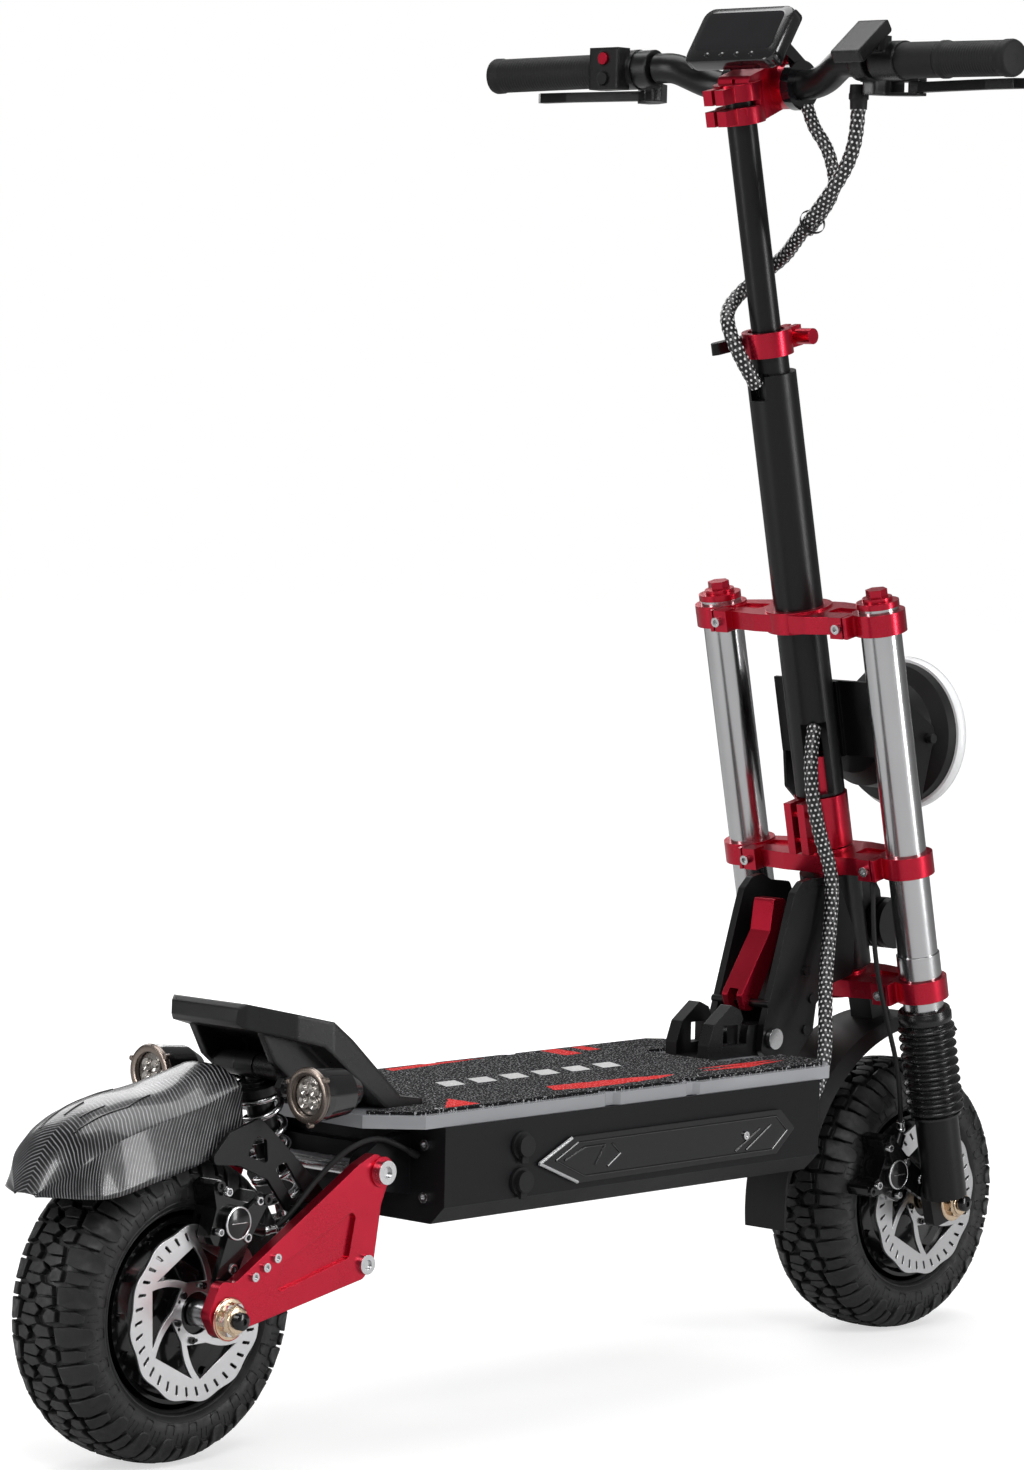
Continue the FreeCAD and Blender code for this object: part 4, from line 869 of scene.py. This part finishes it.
def make_badges():
    """Raised outline, slanted ridges and a clear pointed end on each smoked side badge."""
    ridge = LOOKS["lamp_black"]
    form, clear = bmesh.new(), bmesh.new()
    for side in (-1, 1):
        strip(form, BADGE_OUTLINE, side, 131.6, 1.0)
        strip(form, [(396, 247), (424, 257), (452, 257), (438, 239)], side, 131.6, 1.1, closed=False)
        strip(form, [(462, 257), (474, 247), (456, 236)], side, 131.6, 1.1, closed=False)
        strip(form, [(640, 233), (676, 252)], side, 131.6, 1.1, closed=False)
        strip(form, [(656, 233), (692, 254)], side, 131.6, 1.1, closed=False)
        strip(clear, [(362, 247), (406, 267)], side, 131.4, 1.6, closed=False)
        strip(clear, [(362, 247), (415, 225)], side, 131.4, 1.6, closed=False)
    lines = add_piece("badge_ridges", form, ridge)
    tips = add_piece("badge_clear_tips", clear, LOOKS["lamp_clear"])
    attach(lines, "chassis")
    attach(tips, "chassis")


# ---------------------------------------------------------------- rear fender

# Stations as (x, crown height, shoulder height, hem height, shoulder half-width, hem half-width), in mm.
FENDER = [(-154, 255, 254.4, 253.6, 13, 14), (-128, 298, 280, 253, 44, 54), (-98, 318, 298, 253, 52, 60),
          (-55, 330, 310, 262, 55, 62), (0, 338, 321, 273, 55, 60), (58, 352, 336, 292, 50, 54)]


def smooth_between(table, share):
    """A row of the table between its rows, on a smooth curve through them."""
    spot = min(share * (len(table) - 1), len(table) - 1.0001)
    k, t = int(spot), spot - int(spot)
    rows = [table[min(max(k + step, 0), len(table) - 1)] for step in (-1, 0, 1, 2)]
    found = []
    for before, near, far, after in zip(*rows):
        bend = (far - before) * t + (2 * before - 5 * near + 4 * far - after) * t * t
        found.append(near + 0.5 * (bend + (3 * near - before - 3 * far + after) * t ** 3))
    return found


def make_fender():
    """Moulded mudguard: arched crown, sharp shoulder creases, sloping sides and a rolled hem."""
    form = bmesh.new()
    layer = form.loops.layers.uv.verify()
    rings, places, steps = [], [], 44
    travelled, last = 0.0, None
    for i in range(steps + 1):
        x, crown, shoulder, hem, half, wide = smooth_between(FENDER, i / steps)
        full = min(1.0, (crown - shoulder) / 16)
        half_line = [(0, crown), (half * 0.3, crown - 0.6 * full), (half * 0.48, crown - 2.2 * full),
                     (half * 0.75, crown - 8 * full), (half * 0.97, shoulder + 1.2 * full),
                     (half, shoulder - 0.5 * full)]
        half_line += [
            (half + (wide - half) * s - 1.5 * math.sin(math.pi * s), shoulder + (hem - shoulder) * s)
            for s in (0.15, 0.4, 0.65, 0.88, 1.0)
        ]
        line = [(-y, z) for y, z in reversed(half_line)] + half_line[1:]
        ring = [world(x, y, z) for y, z in line]
        if last:
            travelled += (ring[len(ring) // 2] - last).length
        last = ring[len(ring) // 2]
        rings.append([form.verts.new(spot) for spot in ring])
        run, places_here = 0.0, []
        for near, far in zip(ring, ring[1:]):
            places_here.append(run)
            run += (far - near).length
        places_here.append(run)
        places.append([(travelled, spot - run / 2) for spot in places_here])
    for k in range(steps):
        for i in range(len(rings[0]) - 1):
            face = form.faces.new((rings[k][i], rings[k][i + 1], rings[k + 1][i + 1], rings[k + 1][i]))
            spots = ((k, i), (k, i + 1), (k + 1, i + 1), (k + 1, i))
            for loop, (row, column) in zip(face.loops, spots):
                loop[layer].uv = places[row][column]
    piece = add_piece("rear_fender_shell", form, LOOKS["carbon_plastic"], smooth_angle=26)
    thick = piece.modifiers.new("wall", "SOLIDIFY")
    thick.thickness = 0.0016
    thick.offset = -1
    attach(piece, "swingarm")
    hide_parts("rear_fender")
    ridges = bmesh.new()
    for side in (-1, 1):
        for start, end in (((-118, 22), (-62, 30)), ((-62, 30), (-30, 24)), ((-100, 10), (-74, 14))):
            path = []
            for k in range(9):
                x = start[0] + (end[0] - start[0]) * k / 8
                y = start[1] + (end[1] - start[1]) * k / 8
                path.append(world(x, side * y, fender_height(x, y) + 0.2))
            tube(ridges, path, 0.0009, 8)
    lines = add_piece("rear_fender_ridges", ridges, LOOKS["lamp_black"])
    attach(lines, "swingarm")


def fender_height(x, y):
    """Height of the fender's top at (x, y), both in millimetres."""
    low, high = 0.0, 1.0
    for _ in range(24):
        middle = (low + high) / 2
        if smooth_between(FENDER, middle)[0] < x:
            low = middle
        else:
            high = middle
    _, crown, shoulder, _, half, _ = smooth_between(FENDER, low)
    line = [(0, crown), (half * 0.3, crown - 0.6), (half * 0.48, crown - 2.2), (half * 0.75, crown - 8),
            (half, shoulder)]
    for near, far in zip(line, line[1:]):
        if y <= far[0]:
            return near[1] + (far[1] - near[1]) * (y - near[0]) / (far[0] - near[0])
    return shoulder


# ---------------------------------------------------------------- brake rotors


def make_rotor(name, centre, body, node):
    """Wave-edged disc with curved spokes and paired slots, cut as a flat outline with holes."""
    data = bpy.data.curves.new(name, "CURVE")
    data.dimensions = "2D"
    data.fill_mode = "BOTH"
    data.extrude = 0.0012
    data.bevel_depth = 0.0003
    data.bevel_resolution = 1

    def outline(points):
        """One closed outline of (radius, turn) points, in millimetres and radians."""
        line = data.splines.new("POLY")
        line.points.add(len(points) - 1)
        for held, (radius, turn) in zip(line.points, points):
            held.co = (radius * math.cos(turn) / 1000, radius * math.sin(turn) / 1000, 0, 1)
        line.use_cyclic_u = True

    outline([(78.4 + 1.3 * math.sin(12 * 2 * math.pi * i / 240), 2 * math.pi * i / 240) for i in range(240)])
    outline([(19.2, 2 * math.pi * i / 48) for i in range(48)])
    for i in range(6):
        base = math.radians(60 * i)
        radii = [30 + 30 * k / 10 for k in range(11)]
        near = [(r, base + 3.6 / r + 0.55 * ((r - 30) / 30) ** 0.8) for r in radii]
        far = [(r, base + math.radians(60) - 3.6 / r + 0.55 * ((r - 30) / 30) ** 0.8) for r in radii]
        outline(near + list(reversed(far)))
    for i in range(36):
        turn = math.radians(10 * i)
        corners = [(66, turn - 0.024), (73.8, turn + 0.010), (74.6, turn + 0.034), (73.8, turn + 0.058),
                   (66, turn + 0.024), (65.2, turn)]
        outline(corners)
    for i in range(6):
        turn = math.radians(60 * i + 30)
        hole = [(24.5 + 2 * math.cos(k), 2 * math.sin(k)) for k in (2 * math.pi * j / 12 for j in range(12))]
        outline([(math.hypot(x, y), turn + math.atan2(y, x)) for x, y in hole])
    carrier = bpy.data.objects.new(name, data)
    mesh = bpy.data.meshes.new_from_object(carrier)
    bpy.data.objects.remove(carrier)
    upright = Matrix.Rotation(math.pi / 2, 4, "X")
    mesh.transform(Matrix.Translation(centre + Vector((0, -0.056, 0))) @ upright)
    mesh.materials.clear()
    mesh.materials.append(LOOKS["rotor_steel"])
    piece = bpy.data.objects.new(name, mesh)
    bpy.context.scene.collection.objects.link(piece)
    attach(piece, body)
    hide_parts(node)


# ---------------------------------------------------------------- lamps and display


def reflector_with_painted_facets(name, colour):
    """Faceted reflector behind clear plastic, each facet's colour painted lighter at its middle and darker
    towards its edges: a painted highlight and painted shade on every facet.
    """
    material, shader, tree = new_material(name)
    cells = put(tree, "ShaderNodeTexVoronoi", Scale=420.0)
    tree.links.new(object_place(tree), cells.inputs["Vector"])
    # painted highlight at each facet's middle, fading to painted shade at its edges
    shade = ramp(tree, cells.outputs["Distance"], 1.0, 0.45, 0.0, 0.8)
    tree.links.new(mix(tree, shade, (0.2, 0.2, 0.2), colour), shader.inputs["Base Color"])
    shader.inputs["Metallic"].default_value = 0.7
    shader.inputs["Roughness"].default_value = 0.18
    shader.inputs["Coat Weight"].default_value = 1.0
    shader.inputs["Coat Roughness"].default_value = 0.03
    bump(tree, shader, cells.outputs["Distance"], 0.00015)
    return material


def make_turn_signals():
    """Bezel ring with three tabs, and four small lamp cups, on each bullet indicator."""
    back = Vector((-1, 0, 0))
    bronze = finish("bronze_bezel", (0.23, 0.19, 0.165), 0.25, 0.9, edge=0.0004)
    rims, cups = bmesh.new(), bmesh.new()
    for side in (-1, 1):
        centre = world(100, side * 102, 330)
        lathe(rims, centre, back, [(0.0078, 0.0246), (0.0105, 0.0258), (0.0138, 0.0246), (0.0145, 0.0218),
                                   (0.0136, 0.0186), (0.0106, 0.0180), (0.0078, 0.0186)], 48, caps=False)
        for turn in (0.4, 2.5, 4.6):
            across = Vector((0, math.cos(turn), math.sin(turn)))
            lathe(rims, centre + across * 0.0262 + back * 0.0085, back,
                  [(0, 0.0026), (0.005, 0.0026), (0.0056, 0.002)], 12)
        lathe(cups, centre + back * 0.0082, back, [(0, 0.0176), (0.0004, 0.0176), (0.0006, 0.017)], 40)
        for turn in (0.8, 2.37, 3.94, 5.5):
            across = Vector((0, math.cos(turn), math.sin(turn))) * 0.0085
            lathe(cups, centre + across + back * 0.0088, back,
                  [(0, 0.0058), (0.0022, 0.0062), (0.0026, 0.0058), (0.0012, 0.0030), (0.0034, 0.0016)], 20)
    ring = add_piece("signal_bezels", rims, bronze)
    # the signal reflector's facets carry a painted highlight and painted shade
    mirror = reflector_with_painted_facets("signal_reflector", (0.5, 0.46, 0.42))
    lamps = add_piece("signal_lamp_cups", cups, mirror)
    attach(ring, "chassis")
    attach(lamps, "chassis")


def make_headlight_face():
    """Reflector bowls behind the headlight's clear face, with a thick bright surround."""
    ahead = Vector((1, 0, 0))
    centre = world(1043.3, 0, 615)
    surround, face = bmesh.new(), bmesh.new()
    lathe(surround, centre, ahead, [(-0.002, 0.0735), (-0.002, 0.0766), (0.002, 0.0792), (0.008, 0.0790),
                                    (0.0112, 0.0750), (0.0112, 0.0672), (0.008, 0.0650)], 96, caps=False)
    lathe(face, centre + ahead * 0.0082, ahead, [(0, 0.0600), (0.0008, 0.0600), (0.0012, 0.0585)], 64)
    for y, z, size in ((0, 0, 0.017), (0.032, 0.018, 0.0125), (-0.032, 0.018, 0.0125),
                       (0.032, -0.018, 0.0125), (-0.032, -0.018, 0.0125), (0, 0.038, 0.0125),
                       (0, -0.038, 0.0125)):
        bowl = [(0, size * 1.06), (0.0016, size * 1.06), (0.0018, size), (0.0006, size * 0.5),
                (0.002, size * 0.26)]
        lathe(face, centre + ahead * 0.0094 + Vector((0, y, z)), ahead, bowl, 28)
    frost = finish("lamp_surround", (0.86, 0.87, 0.88), 0.28, coat=0.6, edge=0.0005)
    ring = add_piece("headlight_surround", surround, frost, smooth_angle=50)
    # the headlight bowls' facets carry a painted highlight and painted shade
    mirror = reflector_with_painted_facets("headlight_reflector", (0.8, 0.8, 0.82))
    bowls = add_piece("headlight_bowls", face, mirror)
    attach(ring, "headlight")
    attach(bowls, "headlight")
    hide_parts("headlight_ring")


def rounded_slab(form, centre, right, up, out, width, height, depth, radius, crown=0.0):
    """A slab with rounded corners and a softened front edge; its front is lifted by crown."""
    corners = []
    for quarter, (sx, sy) in enumerate(((1, 1), (-1, 1), (-1, -1), (1, -1))):
        for k in range(7):
            turn = math.pi / 2 * (quarter + k / 6)
            corners.append((sx * (width / 2 - radius) + radius * math.cos(turn),
                            sy * (height / 2 - radius) + radius * math.sin(turn)))
    rings = []
    for level, shrink in ((0.0, 0.985), (depth * 0.15, 1.0), (depth * 0.8, 1.0), (depth * 0.94, 0.985),
                          (depth, 0.955), (depth + crown, 0.6)):
        rings.append([form.verts.new(centre + right * x * shrink + up * y * shrink + out * level)
                      for x, y in corners])
    join_rings(form, rings, caps=True)


def screen_glass(name):
    """Blank dark glass with a slight smear."""
    material, shader, tree = new_material(name)
    smear = noise(tree, object_place(tree), 40.0, detail=5.0)
    colour = mix(tree, smear, (0.003, 0.003, 0.004), (0.008, 0.008, 0.01))
    tree.links.new(colour, shader.inputs["Base Color"])
    tree.links.new(ramp(tree, smear, 0.03, 0.11), shader.inputs["Roughness"])
    shader.inputs["Coat Weight"].default_value = 1.0
    shader.inputs["Coat Roughness"].default_value = 0.02
    return material


def make_display():
    """The cockpit screen's rounded case with its glass, and four plain keys below it."""
    low, high = world(743, 0, 1286), world(776, 0, 1337)
    up = (high - low).normalized()
    out = up.cross(Vector((0, 1, 0))).normalized()
    if out.x > 0:
        out = -out
    centre = (low + high) / 2
    right = Vector((0, 1, 0))
    case, glass = bmesh.new(), bmesh.new()
    rounded_slab(case, centre - out * 0.013, right, up, out, 0.116, 0.066, 0.0150, 0.012, 0.0004)
    pane_centre = centre + out * 0.0014 + up * 0.004
    rounded_slab(glass, pane_centre, right, up, out, 0.100, 0.046, 0.0012, 0.007, 0.0002)
    for k in range(4):
        spot = centre + out * 0.0022 - up * 0.0255 + right * (k - 1.5) * 0.019
        lathe(case, spot, out, [(0, 0.0027), (0.0008, 0.0027), (0.0011, 0.0021)], 16)
    shell = add_piece("display_case", case, LOOKS["lamp_black"], smooth_angle=40)
    pane = add_piece("display_glass", glass, screen_glass("display_glass"))
    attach(shell, "cockpit")
    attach(pane, "cockpit")


# ---------------------------------------------------------------- fasteners and small fittings


def make_axle_nuts():
    """Flanged brass-coloured nuts with black threaded ends, over the axle's plain hexagons."""
    for name, x, reach, half, body in (("rear_axle_nuts", REAR_X, 0.0155, 0.1052, "swingarm"),
                                       ("front_axle_nuts", FRONT_X, 0.0148, 0.1002, "fork_lowers")):
        nuts, ends = bmesh.new(), bmesh.new()
        for side in (-1, 1):
            out = Vector((0, side, 0))
            centre = Vector((x, side * (half - 0.0075), AXLE_Z))
            lathe(nuts, centre, out, [(0, 0.0192), (0.0012, 0.0196), (0.0022, 0.0188), (0.0026, 0.017)], 40)
            lathe(nuts, centre, out, [(0.002, reach), (0.0086, reach), (0.0104, reach * 0.86)], 6)
            lathe(nuts, centre, out, [(0.0100, 0.0118), (0.0118, 0.0116), (0.0124, 0.0095)], 32)
            thread = [(0.0124, 0.0074)]
            for k in range(6):
                thread += [(0.0126 + k * 0.0011, 0.0074), (0.0131 + k * 0.0011, 0.0079)]
            lathe(ends, centre, out, thread + [(0.0196, 0.0066), (0.0199, 0.0030), (0.0180, 0.0026)], 32)
        piece = add_piece(name, nuts, LOOKS["brass_nut"], smooth_angle=20)
        tips = add_piece(name + "_threads", ends, LOOKS["motor_black"])
        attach(piece, body)
        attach(tips, body)


def socket_head(form, centre, out, reach, height):
    """A cap screw: knurl-edged head with a hexagonal socket."""
    head = [(0, reach), (height * 0.8, reach), (height, reach * 0.88), (height, reach * 0.58)]
    lathe(form, centre, out, head, 28, caps=False)
    lathe(form, centre, out, [(height, reach * 0.58), (height * 0.35, reach * 0.56)], 6, caps=False)
    lathe(form, centre + out * height * 0.3, out, [(0, reach * 0.6), (height * 0.06, reach * 0.6)], 12)


def turned(centre, angle, across, up):
    """A point of a caliper: across from the axle and up square to that, in mm, turned by its angle."""
    turn = math.radians(angle)
    x = across * math.cos(turn) - up * math.sin(turn)
    z = across * math.sin(turn) + up * math.cos(turn)
    return centre + Vector((x, 0, z)) / 1000


def make_caliper_fittings():
    """Round barred cap with a bright rim, and the mounting screws, of each disc caliper."""
    for name, x, angle, body in (("rear_caliper_fittings", REAR_X, 73, "swingarm"),
                                 ("front_caliper_fittings", FRONT_X, 156, "fork_lowers")):
        steel, dark = bmesh.new(), bmesh.new()
        centre = Vector((x, 0, AXLE_Z))
        out = Vector((0, -1, 0))
        cap = turned(centre, angle, 84, 0) + Vector((0, -0.0818, 0))
        rim = [(0, 0.0150), (0.0008, 0.0153), (0.0016, 0.0150), (0.0018, 0.0138), (0.0014, 0.0134)]
        lathe(steel, cap, out, rim, 48, caps=False)
        lathe(dark, cap, out, [(0, 0.0137), (0.0015, 0.0136), (0.0019, 0.0128)], 40)
        bar_start = cap + Vector((-0.009, -0.0019, 0.0))
        lathe(steel, bar_start, Vector((1, 0, 0)), [(0, 0.0007), (0.018, 0.0007)], 8)
        for across, up, reach in ((44, -8, 0.0052), (74, -16, 0.0045), (108, -20, 0.0042), (108, 20, 0.0042),
                                  (72, 18, 0.0036)):
            spot = turned(centre, angle, across, up) + Vector((0, -0.0765 - 0.0002 * across / 10, 0))
            socket_head(steel, spot, out, reach, 0.005)
        piece = add_piece(name, steel, LOOKS["steel"])
        caps = add_piece(name + "_cap", dark, LOOKS["motor_black"])
        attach(piece, body)
        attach(caps, body)


def make_ferrules():
    """Silver crimp sleeves where the two brake hoses reach their calipers."""
    for name, points, body in (("rear_hose_ferrule", REAR_CABLE[:3], "swingarm"),
                               ("front_hose_ferrule", FRONT_CABLE[:-4:-1], "fork_lowers")):
        start, end = world(*points[0]), world(*points[1])
        axis = (end - start).normalized()
        form = bmesh.new()
        crimp = [(0, 0.0041), (0.001, 0.0044), (0.004, 0.0044), (0.0046, 0.0036), (0.010, 0.0036),
                 (0.0105, 0.0042), (0.012, 0.0042), (0.0125, 0.0032)]
        lathe(form, start + axis * 0.002, axis, crimp, 24)
        piece = add_piece(name, form, LOOKS["steel"])
        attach(piece, body)


def make_cockpit_details():
    """Rubber boot and second sleeve at the right lever, and plain pads round the left switch buttons."""
    pads = bmesh.new()
    for dy, dz, size in ((-0.012, 0.002, 0.0032), (0.012, 0.004, 0.0032), (-0.012, -0.010, 0.0026),
                         (0.012, -0.009, 0.0026)):
        spot = bar_point(172) + Vector((-0.0262, dy, dz))
        lathe(pads, spot, Vector((-1, 0, 0)), [(0, size), (0.0016, size), (0.0021, size * 0.75)], 20)
    piece = add_piece("switch_pads", pads, LOOKS["soft_rubber"])
    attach(piece, "cockpit")
    boot = bmesh.new()
    collar = [(0, 0.0088), (0.008, 0.0092), (0.009, 0.0098), (0.014, 0.0098), (0.015, 0.0086),
              (0.024, 0.0083)]
    lathe(boot, world(797, -122, 1262), Vector((0, 0, -1)), collar, 28, caps=False)
    sleeve = add_piece("lever_boot", boot, LOOKS["soft_rubber"], smooth_angle=50)
    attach(sleeve, "cockpit")
    branch = [(806, -50, 1243), (802, -60, 1224), (806, -76, 1204), (808, -84, 1180), (803, -90, 1160),
              (806, -74, 1140), (815, -48, 1122)]
    path = even_path(spline_points([world(*p) for p in branch], 14), 0.0016)
    form = bmesh.new()
    tube(form, path, LOOM_R - 0.0012, 24, ripple)
    second = add_piece("upper_loom_branch", form, LOOKS["loom"], smooth_angle=60)
    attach(second, "cockpit")
    tie = bmesh.new()
    lathe(tie, world(805, -62, 1131), (world(813, -34, 1112) - world(799, -66, 1134)),
          [(0, 0.0128), (0.0005, 0.0132), (0.0035, 0.0132), (0.004, 0.0128)], 32, caps=False)
    band = add_piece("loom_tie", tie, LOOKS["satin_black"])
    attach(band, "cockpit")


make_camera()
make_light()
make_floor()
LOOKS = make_looks()
make_tyre("rear_tyre_treaded", Vector((REAR_X, 0, AXLE_Z)), "rear_wheel", "rear_tyre")
make_tyre("front_tyre_treaded", Vector((FRONT_X, 0, AXLE_Z)), "front_wheel", "front_tyre")
make_wiring()
make_bellows()
make_spring()
make_grips()
make_deck_shapes()
make_badges()
make_fender()
make_rotor("rear_rotor_disc", Vector((REAR_X, 0, AXLE_Z)), "rear_wheel", "rear_rotor")
make_rotor("front_rotor_disc", Vector((FRONT_X, 0, AXLE_Z)), "front_wheel", "front_rotor")
make_turn_signals()
make_headlight_face()
make_display()
make_axle_nuts()
make_caliper_fittings()
make_ferrules()
make_cockpit_details()
